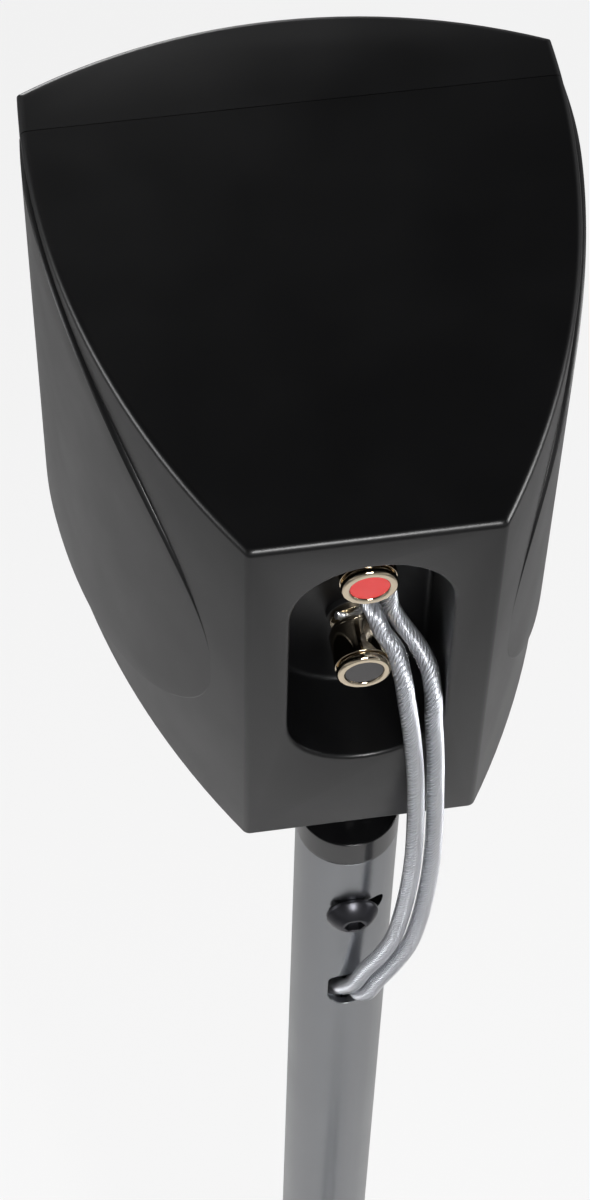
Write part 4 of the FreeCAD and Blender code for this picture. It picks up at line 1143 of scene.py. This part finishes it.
@dataclass
class Grille:
    """The bowed front cap with its pegs and its perforated sheet."""

    edge_radius: float = 1.9
    gap: float = 0.2
    wall: float = 2.4
    corner_radius: float = 5.0
    peg_radius: float = 2.0
    peg_length: float = 5.0
    peg_inset: float = 7.4
    peg_rounding: float = 0.4
    gusset_radius: float = 6.0
    gusset_length: float = 3.0

    def __post_init__(self) -> None:
        """Find the depth of the cap's rear edge."""
        self.back = REAR_Y - SEAM_Y + self.gap

    def cap(self) -> bpy.types.Object:
        """Build the bowed cap, hollow from behind.

        Returns:
            The cap.
        """
        low, high = CABINET_LOW.z, CABINET_HIGH.z
        rings = []
        for height, inset in rounded_levels(low, high, self.edge_radius):
            corner = max(self.corner_radius - inset, 1.0)
            loop = OUTLINE.loop(self.back, 0, inset, bowed=True, front_corner=corner)
            rings.append([(x, y, height) for x, y in loop])
        cap = lofted("grille_cap", rings)
        hole = Cabinet.block(
            "inside", self.back - 2, self.back + 50, self.wall, low + self.wall, high - self.wall
        )
        return carved(cap, Carving.CUT, hole)

    def peg(self, side: int, level: float) -> bpy.types.Object:
        """Build one peg on its gusset.

        Args:
            side: 1 for the +X side, -1 for the other.
            level: its height.

        Returns:
            The peg.
        """
        x = side * (OUTLINE.half_width(REAR_Y - SEAM_Y) - self.peg_inset)
        corners = [
            (0, -self.peg_length),
            (self.peg_radius, -self.peg_length),
            (self.peg_radius, 0),
            (self.gusset_radius, 0),
            (self.gusset_radius, self.gusset_length),
            (0, self.gusset_length),
        ]
        profile = softened(corners, self.peg_rounding)
        return lathed("peg", profile, (x, REAR_Y - self.back, level), Axis.FRONT, 40)

    def build(self) -> None:
        """Build the frame in place of the CAD one, and dress the sheet."""
        cap = self.cap()
        for side in (-1, 1):
            for level in (CABINET_LOW.z + self.peg_inset, CABINET_HIGH.z - self.peg_inset):
                carved(cap, Carving.JOIN, self.peg(side, level))
        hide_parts("grille_frame")
        dress(cap, FRAME_ABS, "grille")
        dress_nodes({"grille_cloth": PERFORATED_STEEL})


# ---------------------------------------------------------------- binding posts


@dataclass
class BindingPost:
    """One gold binding post: the knob with its coloured disc, and the parts it clamps against."""

    colour: str
    disc: Finish
    ring_radius: float = 6.85
    groove_radius: float = 5.75
    insert_radius: float = 4.6
    bore_radius: float = 2.55
    groove_back: float = 15.6
    ring_back: float = 16.5
    front: float = 18.0
    back: float = 6.2
    insert_front: float = 17.6
    insert_thickness: float = 0.9
    edge: float = 0.5
    rim_step: float = 0.1
    insert_edge: float = 0.35
    rounding: float = 0.28
    bore_depth: float = 1.5

    def build(self) -> None:
        """Build the knob in place of the CAD one, and dress the washer and the disc."""
        low, high = node_box(f"knob_{self.colour}")
        centre = (0, REAR_Y - Cabinet.cup_depth, (low.z + high.z) / 2)
        seat = self.insert_front - self.insert_thickness
        rim = self.ring_radius - self.rim_step
        corners = [
            (self.bore_radius, self.back),
            (self.ring_radius - self.edge, self.back),
            (self.ring_radius, self.back + self.edge),
            (self.ring_radius, self.groove_back),
            (self.groove_radius, self.groove_back),
            (self.groove_radius, self.ring_back),
            (rim, self.ring_back),
            (rim, self.front - self.edge),
            (rim - self.edge, self.front),
            (self.insert_radius + self.insert_edge, self.front),
            (self.insert_radius, self.front - self.insert_edge),
            (self.insert_radius, seat),
            (0, seat),
        ]
        bottom = seat - self.bore_depth
        profile = [(0, bottom), (self.bore_radius, bottom), *softened(corners, self.rounding)]
        knob = lathed(f"{self.colour}_knob", profile, centre, Axis.REAR, 96)
        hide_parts(f"knob_{self.colour}")
        dress(knob, GOLD_PLATE, f"knob_{self.colour}")
        dress_nodes({f"knob_insert_{self.colour}": self.disc, f"clamp_washer_{self.colour}": GOLD_PLATE})


# ---------------------------------------------------------------- cable


@dataclass(frozen=True)
class Wire:
    """One half of the twin cable: a clear sleeve round a bundle of twisted strands."""

    radius: float = 2.25
    core_radius: float = 1.55
    strands: int = 9
    lay: float = 12.0

    def core(self, points_each: int = 4) -> Section:
        """The strands' outline, with that many points to each strand."""
        return stranded_section(self.core_radius, self.strands, self.lay, points_each)


WIRE = Wire()
# Bare strands spread less, so that fewer show, and are twisted tighter.
BARE_STRANDS = stranded_section(radius=1.0, strands=7, lay=9.0, depth=0.2)


@dataclass
class Conductor:
    """One insulated conductor, from its binding post into the pole and down to the pole's foot."""

    colour: str
    route: list[Point]
    strands: list[Point]
    step: float = 0.9
    strand_step: float = 0.5

    def build(self) -> None:
        """Build the clear sleeve, the strands inside it and the bare end in the post."""
        path = smooth_path(self.route, self.step)
        sleeve = swept(f"sleeve_{self.colour}", path, round_section(WIRE.radius, 24))
        core = swept(f"core_{self.colour}", path, WIRE.core())
        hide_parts(f"conductor_{self.colour}", f"pole_wire_{self.colour}")
        dress(sleeve, CLEAR_PVC)
        dress(core, TINNED_COPPER)
        for piece in (sleeve, core):
            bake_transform(piece)
        tuft = swept(f"tuft_{self.colour}", smooth_path(self.strands, self.strand_step), BARE_STRANDS)
        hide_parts(f"strands_{self.colour}")
        dress(tuft, TINNED_COPPER, "head")


EXIT_LEVEL = POLE_LOW.z + 40.0
HOLE_LEVEL = POLE_HIGH.z - 75.6


def inside_pole(side: int) -> list[Point]:
    """The way of one conductor down inside the pole and out at its foot.

    Args:
        side: 1 for the conductor on the +X side, -1 for the other.

    Returns:
        Its points.
    """
    x, middle = 2.3 * side, (HOLE_LEVEL + EXIT_LEVEL) / 2
    return [
        (x, 6.8, HOLE_LEVEL - 37.0),
        (x, 6.8, HOLE_LEVEL - 60.0),
        (x, 6.8, middle),
        (x, 6.8, EXIT_LEVEL + 60.0),
        (x, 6.8, EXIT_LEVEL + 26.0),
        (x, 7.2, EXIT_LEVEL + 14.0),
        (x, 9.4, EXIT_LEVEL + 3.5),
        (x, 13.0, EXIT_LEVEL - 1.5),
        (x, 17.0, EXIT_LEVEL - 4.5),
    ]


BLACK_ROUTE: list[Point] = [
    (-2.2, -0.6, 918.6),
    (-3.0, 2.8, 918.2),
    (-4.5, 5.8, 914.6),
    (-6.9, 8.7, 911.9),
    (-8.3, 13.4, 906.8),
    (-9.3, 16.4, 898.2),
    (-11.0, 18.8, 882.7),
    (-12.4, 20.2, 863.9),
    (-12.8, 21.9, 846.0),
    (-12.8, 22.8, 828.0),
    (-12.1, 23.1, 811.0),
    (-11.1, 22.6, 796.0),
    (-9.9, 21.4, 782.0),
    (-7.0, 19.9, 768.6),
    (-4.0, 18.3, 758.4),
    (-1.0, 16.6, 746.5),
    (1.4, 12.9, 737.5),
    (2.3, 9.0, 731.4),
    (2.5, 7.4, 720.0),
    (2.3, 6.8, 709.5),
]
RED_ROUTE: list[Point] = [
    (-3.8, -3.7, 930.6),
    (-5.6, -3.6, 924.6),
    (-7.2, -3.0, 917.5),
    (-7.9, -2.0, 912.8),
    (-10.2, 0.8, 909.2),
    (-13.0, 4.8, 906.6),
    (-15.2, 9.0, 903.4),
    (-16.0, 13.2, 898.6),
    (-16.2, 16.6, 888.6),
    (-16.9, 19.2, 875.0),
    (-17.2, 20.8, 863.5),
    (-17.6, 22.4, 846.0),
    (-17.5, 23.7, 828.0),
    (-16.8, 24.1, 811.0),
    (-15.7, 23.8, 795.0),
    (-14.1, 22.6, 779.3),
    (-10.5, 21.2, 764.5),
    (-7.3, 19.8, 753.7),
    (-4.6, 17.7, 741.8),
    (-2.8, 13.5, 734.6),
    (-2.5, 9.4, 731.4),
    (-2.4, 7.4, 721.0),
    (-2.3, 6.8, 709.5),
]
BLACK_STRANDS: list[Point] = [
    (-2.2, -0.6, 918.6),
    (-1.9, -1.88, 918.75),
    (-1.6, -3.3, 917.0),
    (-1.4, -3.9, 911.0),
    (1.4, -3.9, 907.2),
    (4.8, -3.9, 908.6),
]
RED_STRANDS: list[Point] = [
    (-3.8, -3.7, 930.6),
    (-3.2, -3.73, 932.6),
    (-4.4, -3.9, 939.3),
    (-3.2, -3.9, 944.6),
    (2.2, -3.9, 945.4),
]


@dataclass
class FlatLead:
    """The clear twin lead outside the pole: over the base, along the floor and into a put-away coil."""

    web_angle: float = 14.0
    floor_gap: float = 0.35
    layer_gap: float = 0.25
    inner_radius: float = 41.0
    pitch: float = 9.5
    turns: float = 3.0
    step: float = 1.4
    base_top: float = 12.0
    base_radius: float = 140.0
    coil_y: float = 226.0
    bare_length: float = 11.0

    def coil(self, first: float, growth: float, level: float, start: float) -> list[Point]:
        """Points of a flat spiral, twelve to a turn.

        Args:
            first: its first radius.
            growth: how much the radius grows in a turn.
            level: its height.
            start: its first angle.

        Returns:
            The points.
        """
        count = int(self.turns * 12)
        points = []
        for i in range(count + 1):
            angle, radius = start + math.pi * i / 6, first + growth * i / 12
            points.append((radius * math.cos(angle), self.coil_y + radius * math.sin(angle), level))
        return points

    def route(self) -> list[Point]:
        """The lead's whole way, from the pole's foot to where its conductors part.

        Returns:
            Its points.
        """
        low = WIRE.radius + self.floor_gap
        outer = self.inner_radius + self.pitch * self.turns
        edge, over = self.base_radius, self.base_top + low
        upper = low + 2 * WIRE.radius + self.layer_gap
        run = [
            (0, 17.0, EXIT_LEVEL - 4.5),
            (0, 24.0, EXIT_LEVEL - 9.75),
            (1, 31.0, self.base_top + 16),
            (3, 43.0, self.base_top + 6.5),
            (6, 60.0, over),
            (12, edge - 50, over),
            (28, edge - 20, over),
            (43, edge - 3, over),
            (54, edge + 11, low + 4),
            (63, edge + 26, low),
            (outer - 0.6, edge + 46, low),
            (outer, edge + 66, low),
        ]
        lift = []
        for step in (1, 2):
            angle = math.pi / 6 * step
            x, y = self.inner_radius * math.cos(angle), self.inner_radius * math.sin(angle)
            lift.append((x, self.coil_y + y, low + (upper - low) * step / 3))
        away = [
            (-26, self.coil_y + outer + 1.5, upper),
            (-50, self.coil_y + outer + 1.5, low + (upper - low) * 0.75),
            (-76, self.coil_y + outer - 3, low + (upper - low) * 0.2),
            (-100, self.coil_y + outer - 15, low),
            (-122, self.coil_y + outer - 32, low),
        ]
        inward = self.coil(outer, -self.pitch, low, 0.0)
        outward = self.coil(self.inner_radius, self.pitch, upper, math.pi / 2)
        return run + inward + lift + outward + away

    def tails(self, split: Vector, along: Vector) -> None:
        """Build the two parted ends, each with its insulation stripped back.

        Args:
            split: where the conductors part.
            along: the way the lead runs there.
        """
        across = Vector((along.y, -along.x, 0.0))
        sleeves, cores, ends = [], [], []
        for side, spread, reach in ((1, 11.0, 62.0), (-1, 8.0, 55.0)):
            stations = ((0.0, 0.0), (14.0, 0.0), (34.0, 0.4), (reach - 14, 0.8), (reach, 1.0))
            points = []
            for far, share in stations:
                points.append(split + along * far + across * side * (WIRE.radius + spread * share))
            path = smooth_path(points, self.step)
            sleeves.append(swept("tail", path, round_section(WIRE.radius, 20)))
            cores.append(swept("tail_core", path, WIRE.core()))
            on = (path[-1] - path[-2]).normalized()
            bare = [path[-1] + on * (self.bare_length * i / 8) for i in range(9)]
            ends.append(swept("bare_end", bare, BARE_STRANDS))
        sleeve = joined("tail_sleeves", sleeves)
        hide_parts("lead_tails")
        dress(sleeve, CLEAR_PVC, "stand")
        dress(joined("tail_cores", cores), TINNED_COPPER, "stand")
        end = joined("stripped_ends", ends)
        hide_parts("lead_bare_ends")
        dress(end, TINNED_COPPER, "stand")

    def build(self) -> None:
        """Build the lead, its strands and its ends."""
        path = smooth_path(self.route(), self.step)
        jacket = swept("twin_lead", path, twin_section(WIRE.radius, self.web_angle), level=True)
        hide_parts("lead_run", "lead_coil")
        dress(jacket, CLEAR_PVC, "stand")
        cores = [
            swept(f"lead_core_{side}", path, WIRE.core(3), level=True, offset=side * WIRE.radius)
            for side in (-1, 1)
        ]
        strands = dress(joined("lead_cores", cores), TINNED_COPPER, "stand")
        self.tails(path[-1], (path[-1] - path[-2]).normalized())


# ---------------------------------------------------------------- stand, drivers and inside


@dataclass
class Stand:
    """The pole, its base and what joins the loudspeaker to it."""

    pad_radius: float = 12.0
    pad_rounding: float = 1.2
    washer_bore: float = 3.3
    washer_radius: float = 11.0
    washer_bulge: float = 0.2

    def feet(self) -> None:
        """Build the four rubber feet under the base."""
        high = node_box("floor_pads")[1]
        circle = high.x - self.pad_radius
        corners = [(0, 0), (self.pad_radius, 0), (self.pad_radius, high.z), (0, high.z)]
        profile = softened(corners, self.pad_rounding)
        spots = [(x, y, 0) for x in (-circle, circle) for y in (-circle, circle)]
        pads = joined("rubber_feet", [lathed("foot", profile, spot) for spot in spots])
        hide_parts("floor_pads")
        dress(pads, MOULDED_RUBBER, "stand")

    def washer(self) -> None:
        """Build the neoprene washer under the loudspeaker, which bulges a little where it is squeezed."""
        low, high = node_box("isolation_pad")
        thick, pinched = high.z - low.z, self.washer_radius - self.washer_bulge
        ring = [
            (self.washer_bore, 0),
            (pinched, 0),
            (self.washer_radius, thick / 2),
            (pinched, thick),
            (self.washer_bore, thick),
            (self.washer_bore, 0),
        ]
        pad = lathed("neoprene_washer", ring, (0, 0, low.z))
        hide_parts("isolation_pad")
        dress(pad, NEOPRENE, "head")

    def build(self) -> None:
        """Dress the hard pieces and build the rubber ones."""
        dress_nodes(
            {
                "base_plate": POWDER_COAT,
                "foot_screw": ZINC_PLATE,
                "foot_insert": ZINC_PLATE,
                "foot_ring": POLYPROPYLENE,
                "pole_tube": ANODISED_ALUMINIUM,
                "swivel_plug": POLISHED_ACETAL,
                "clamp_screw": BLACK_OXIDE,
                "mount_screw": ZINC_PLATE,
                "mount_insert": TURNED_BRASS,
            }
        )
        self.feet()
        self.washer()


@dataclass
class Drivers:
    """The woofer and the tweeter behind the grille."""

    roll_inner: float = 31.0
    roll_outer: float = 34.4
    roll_rise: float = 1.5
    roll_hollow: float = 1.05
    roll_overhang: float = 0.3
    flap_inner: float = 29.4
    flap_outer: float = 36.9
    seat: float = 1.23
    rim: float = 0.6
    spider_inner: float = 12.9
    spider_outer: float = 30.9
    spider_level: float = -24.75
    spider_waves: int = 5
    wave_height: float = 0.8
    cloth_half: float = 0.22
    gasket_inner: float = 34.9
    gasket_low: float = 1.8
    gasket_high: float = 3.0
    gasket_edge: float = 0.2

    def centre(self, node: str) -> tuple[float, float, float]:
        """The middle of a driver, on the baffle's front."""
        low, high = node_box(node)
        return (0.0, SEAM_Y, (low.z + high.z) / 2)

    def surround(self) -> bpy.types.Object:
        """The half-roll of rubber that joins the cone to the basket.

        Returns:
            The surround.
        """
        steps = 14
        top = self.seat + self.rim
        middle, half = (self.roll_inner + self.roll_outer) / 2, (self.roll_outer - self.roll_inner) / 2
        over, under = [], []
        for i in range(steps + 1):
            cosine, sine = math.cos(math.pi * (1 - i / steps)), math.sin(math.pi * (1 - i / steps))
            over.append((middle + (half + self.roll_overhang) * cosine, top + self.roll_rise * sine))
            under.append((middle + half * cosine, self.seat + self.roll_hollow * sine))
        start = (self.flap_inner, self.seat)
        ring = [start, *under, (self.flap_outer, self.seat), (self.flap_outer, top)]
        ring += [*reversed(over), (self.flap_inner, top), start]
        return lathed("surround_roll", ring, self.centre("woofer_basket"), Axis.FRONT, 120)

    def spider(self) -> bpy.types.Object:
        """The corrugated cloth that centres the voice coil.

        Returns:
            The spider.
        """
        steps = 60
        top, bottom = [], []
        for i in range(steps + 1):
            share = i / steps
            radius = self.spider_inner + (self.spider_outer - self.spider_inner) * share
            calm = min(1.0, share * 8, (1 - share) * 8)
            wave = self.wave_height * calm * math.sin(2 * math.pi * self.spider_waves * share)
            top.append((radius, self.spider_level + wave + self.cloth_half))
            bottom.append((radius, self.spider_level + wave - self.cloth_half))
        ring = bottom + top[::-1] + bottom[:1]
        return lathed("spider_ripples", ring, self.centre("woofer_basket"), Axis.FRONT, 96)

    def gasket(self) -> bpy.types.Object:
        """The foam ring over the surround's outer edge.

        Returns:
            The gasket.
        """
        inner, outer, edge = self.gasket_inner, self.flap_outer, self.gasket_edge
        ring = [
            (inner, self.gasket_low),
            (outer, self.gasket_low),
            (outer, self.gasket_high - edge),
            (outer - edge, self.gasket_high),
            (inner + edge, self.gasket_high),
            (inner, self.gasket_high - edge),
            (inner, self.gasket_low),
        ]
        return lathed("gasket_foam", ring, self.centre("woofer_basket"), Axis.FRONT)

    def build(self) -> None:
        """Dress the hard pieces and build the soft ones."""
        dress_nodes(
            {
                "baffle": PAINTED_BOARD,
                "baffle_screws": ZINC_PLATE,
                "woofer_basket": PRESSED_STEEL,
                "woofer_top_plate": ZINC_PLATE,
                "woofer_magnet": FERRITE,
                "woofer_yoke": ZINC_PLATE,
                "voice_coil_former": ALUMINIUM_FOIL,
                "voice_coil": ENAMELLED_COPPER,
                "woofer_cone": PAPER_PULP,
                "dust_cap": PAPER_PULP,
                "woofer_screws": ZINC_PLATE,
                "tweeter_faceplate": PRESSED_STEEL,
                "tweeter_dome": COATED_SILK,
                "tweeter_motor": PRESSED_STEEL,
                "tweeter_screws": ZINC_PLATE,
            }
        )
        for piece, node, finish in (
            (self.surround(), "woofer_surround", BUTYL),
            (self.spider(), "woofer_spider", TREATED_COTTON),
            (self.gasket(), "woofer_gasket", BUTYL),
        ):
            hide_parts(node)
            dress(piece, finish, "head")


@dataclass
class Inside:
    """The crossover, the posts' inner parts and the wadding."""

    pieces: tuple[int, int, int] = (26, 24, 8)
    ripple: float = 0.66
    rounding: float = 0.07

    def wadding(self) -> bpy.types.Object:
        """A pillow of wadding, with its surface drawn in where the fibres bunch.

        Returns:
            The pillow.
        """
        low, high = node_box("damping_wadding")
        centre, half = (low + high) / 2, (high - low) / 2
        points, index, faces = [], {}, []

        def corner(*place: int) -> int:
            """Number a point of the pillow's skin, and make it if it is new.

            Args:
                place: its place along X, Y and Z, in pieces.

            Returns:
                Its number.
            """
            if place not in index:
                x, y, z = (2 * at / count - 1 for at, count in zip(place, self.pieces))
                pinch = self.ripple * (math.sin(9 * x + 2 * y) + math.sin(7 * y - 3 * x + 5 * z))
                shrink = 1 - self.rounding * (x * x * y * y + y * y * z * z + x * x * z * z)
                point = Vector([centre[n] + half[n] * way * shrink for n, way in enumerate((x, y, z))])
                point.z += max(pinch, 0) * (1 - z) / 2
                index[place] = len(points)
                points.append(point)
            return index[place]

        for fixed in range(3):
            one, two = (n for n in range(3) if n != fixed)
            for level in (0, self.pieces[fixed]):
                for i in range(self.pieces[one]):
                    for j in range(self.pieces[two]):
                        face = []
                        for across, up in ((0, 0), (1, 0), (1, 1), (0, 1)):
                            place = [level] * 3
                            place[one], place[two] = i + across, j + up
                            face.append(corner(*place))
                        faces.append(face)
        return new_mesh("wadding_pillow", points, faces)

    def build(self) -> None:
        """Dress the board and its parts, and build the wadding."""
        dress_nodes(
            {
                "crossover_board": EPOXY_LAMINATE,
                "board_screws": ZINC_PLATE,
                "inductor": ENAMELLED_COPPER,
                "capacitors": FILM_SLEEVE,
                "resistor": CERAMIC,
                "post_insulators": NYLON,
                "post_stems": GOLD_PLATE,
                "solder_tags": GOLD_PLATE,
                "post_nuts": GOLD_PLATE,
            }
        )
        pillow = self.wadding()
        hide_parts("damping_wadding")
        dress(pillow, WADDING, "head")


# ---------------------------------------------------------------- room and camera


@dataclass(frozen=True)
class Lamp:
    """A soft square lamp, in metres, watts and degrees."""

    name: str
    place: Point
    target: Point
    size: float
    power: float
    spread: float


@dataclass
class Studio:
    """A pale floor, a pale room that darkens overhead and soft lamps."""

    floor_half: float = 60000.0
    floor_colour: str = "#efeeee"
    white_share: float = 0.86
    mirrored_share: float = 0.12
    horizon: str = "#e6e6e8"
    horizon_end: float = 0.05
    overhead: str = "#1c1c1e"
    overhead_start: float = 0.62
    sky_strength: float = 0.6
    backdrop_strength: float = 0.93
    lamps: tuple[Lamp, ...] = (
        Lamp("rear_box", (-0.1, 1.5, 2.3), (0.1, 0.42, 0.35), size=0.7, power=9.0, spread=75.0),
        Lamp("left_box", (1.7, -0.3, 1.15), (0.0, 0.0, 0.95), size=0.7, power=1.2, spread=60.0),
        Lamp("right_box", (-1.7, 0.1, 1.15), (0.0, 0.0, 0.95), size=0.7, power=1.9, spread=60.0),
        Lamp("front_box", (0.3, -1.8, 1.25), (0.0, 0.0, 0.9), size=0.8, power=2.4, spread=65.0),
    )

    def floor(self) -> None:
        """Lay the floor. It looks white to the camera and dim in mirrors, and keeps the object's shadow."""
        half = self.floor_half
        corners = [(-half, -half, 0), (half, -half, 0), (half, half, 0), (-half, half, 0)]
        plane = new_mesh("floor", corners, [[0, 1, 2, 3]])
        material = bpy.data.materials.new("painted_floor")
        material.use_nodes = True
        tree = material.node_tree
        tree.nodes.clear()
        paint = MATERIALS.add(tree, "BsdfDiffuse", Color=linear(self.floor_colour))
        glow = MATERIALS.add(tree, "Emission", Color=linear("#ffffff"), Strength=1.0)
        rays = MATERIALS.add(tree, "LightPath")
        glossy, sent = rays.outputs["Is Glossy Ray"], rays.outputs["Is Transmission Ray"]
        mirrored = MATERIALS.add(tree, "Math", {0: glossy}, {1: self.mirrored_share}, operation="MULTIPLY")
        # A ray that went straight through a clear cable sees the white floor, but not one that its
        # strands mirrored.
        straight = MATERIALS.add(tree, "Math", {0: rays.outputs["Glossy Depth"]}, operation="LESS_THAN")
        through = MATERIALS.add(tree, "Math", {0: sent, 1: straight.outputs[0]}, operation="MULTIPLY")
        seen = rays.outputs["Is Camera Ray"]
        for other in (through.outputs[0], mirrored.outputs[0]):
            seen = MATERIALS.add(tree, "Math", {0: seen, 1: other}, operation="MAXIMUM").outputs[0]
        share = MATERIALS.add(tree, "Math", {0: seen}, {1: self.white_share}, operation="MULTIPLY")
        mixed = MATERIALS.add(
            tree, "MixShader", {0: share.outputs[0], 1: paint.outputs[0], 2: glow.outputs[0]}
        )
        MATERIALS.add(tree, "OutputMaterial", {"Surface": mixed.outputs[0]})
        plane.data.materials.append(material)

    def world(self) -> None:
        """Paint the room: pale at the horizon and dark overhead, so that black tops stay black."""
        world = bpy.data.worlds.new("studio")
        bpy.context.scene.world = world
        world.use_nodes = True
        tree = world.node_tree
        tree.nodes.clear()
        place = MATERIALS.add(tree, "TexCoord")
        parts = MATERIALS.add(tree, "SeparateXYZ", {"Vector": place.outputs["Generated"]})
        ramp = MATERIALS.add(tree, "ValToRGB", {"Fac": parts.outputs["Z"]})
        first, last = ramp.color_ramp.elements
        first.position, first.color = self.horizon_end, linear(self.horizon)
        last.position, last.color = self.overhead_start, linear(self.overhead)
        sky = MATERIALS.add(
            tree, "Background", {"Color": ramp.outputs["Color"]}, Strength=self.sky_strength
        )
        white = MATERIALS.add(
            tree, "Background", Color=linear("#ffffff"), Strength=self.backdrop_strength
        )
        seen = MATERIALS.add(tree, "LightPath").outputs["Is Camera Ray"]
        mixed = MATERIALS.add(tree, "MixShader", {0: seen, 1: sky.outputs[0], 2: white.outputs[0]})
        MATERIALS.add(tree, "OutputWorld", {"Surface": mixed.outputs[0]})

    def light(self) -> None:
        """Hang the lamps."""
        for lamp in self.lamps:
            data = bpy.data.lights.new(lamp.name, "AREA")
            data.size = lamp.size
            data.energy = lamp.power
            data.spread = math.radians(lamp.spread)
            thing = bpy.data.objects.new(lamp.name, data)
            thing.location = lamp.place
            aim = Vector(lamp.target) - Vector(lamp.place)
            thing.rotation_euler = aim.to_track_quat("-Z", "Y").to_euler()
            bpy.context.scene.collection.objects.link(thing)

    def build(self) -> None:
        """Build the room."""
        self.floor()
        self.world()
        self.light()


@dataclass
class PhotoCamera:
    """The photo's camera, which was solved from measured points of the object."""

    place: Point = (86.17, 399.56, 1575.86)
    right: Point = (-0.98864041, 0.14949861, 0.01550199)
    up: Point = (-0.11884334, -0.8406973, 0.52830324)
    focal_pixels: float = 3300.0
    sensor: float = 36.0

    def build(self) -> None:
        """Set the camera up and make it the scene's."""
        data = bpy.data.cameras.new("photo_camera")
        data.sensor_width = self.sensor
        data.lens = self.focal_pixels * self.sensor / max(IMAGE_WIDTH, IMAGE_HEIGHT)
        camera = bpy.data.objects.new("photo_camera", data)
        right, up = Vector(self.right).normalized(), Vector(self.up)
        up = (up - right * up.dot(right)).normalized()
        turn = Matrix((right, up, right.cross(up))).transposed().to_4x4()
        camera.matrix_world = Matrix.Translation(Vector(self.place) * MM) @ turn
        bpy.context.scene.collection.objects.link(camera)
        bpy.context.scene.camera = camera


def main() -> None:
    """Build every piece, the room and the camera."""
    logging.basicConfig(level=logging.INFO, format="%(name)s: %(message)s")
    Stand().build()
    Cabinet().build()
    Grille().build()
    BindingPost("red", RED_ACRYLIC).build()
    BindingPost("black", BLACK_ACRYLIC).build()
    Drivers().build()
    Inside().build()
    Conductor("black", BLACK_ROUTE + inside_pole(1), BLACK_STRANDS).build()
    Conductor("red", RED_ROUTE + inside_pole(-1), RED_STRANDS).build()
    FlatLead().build()
    Studio().build()
    PhotoCamera().build()
    bpy.context.scene.view_settings.view_transform = "Standard"


if __name__ == "__main__":
    main()
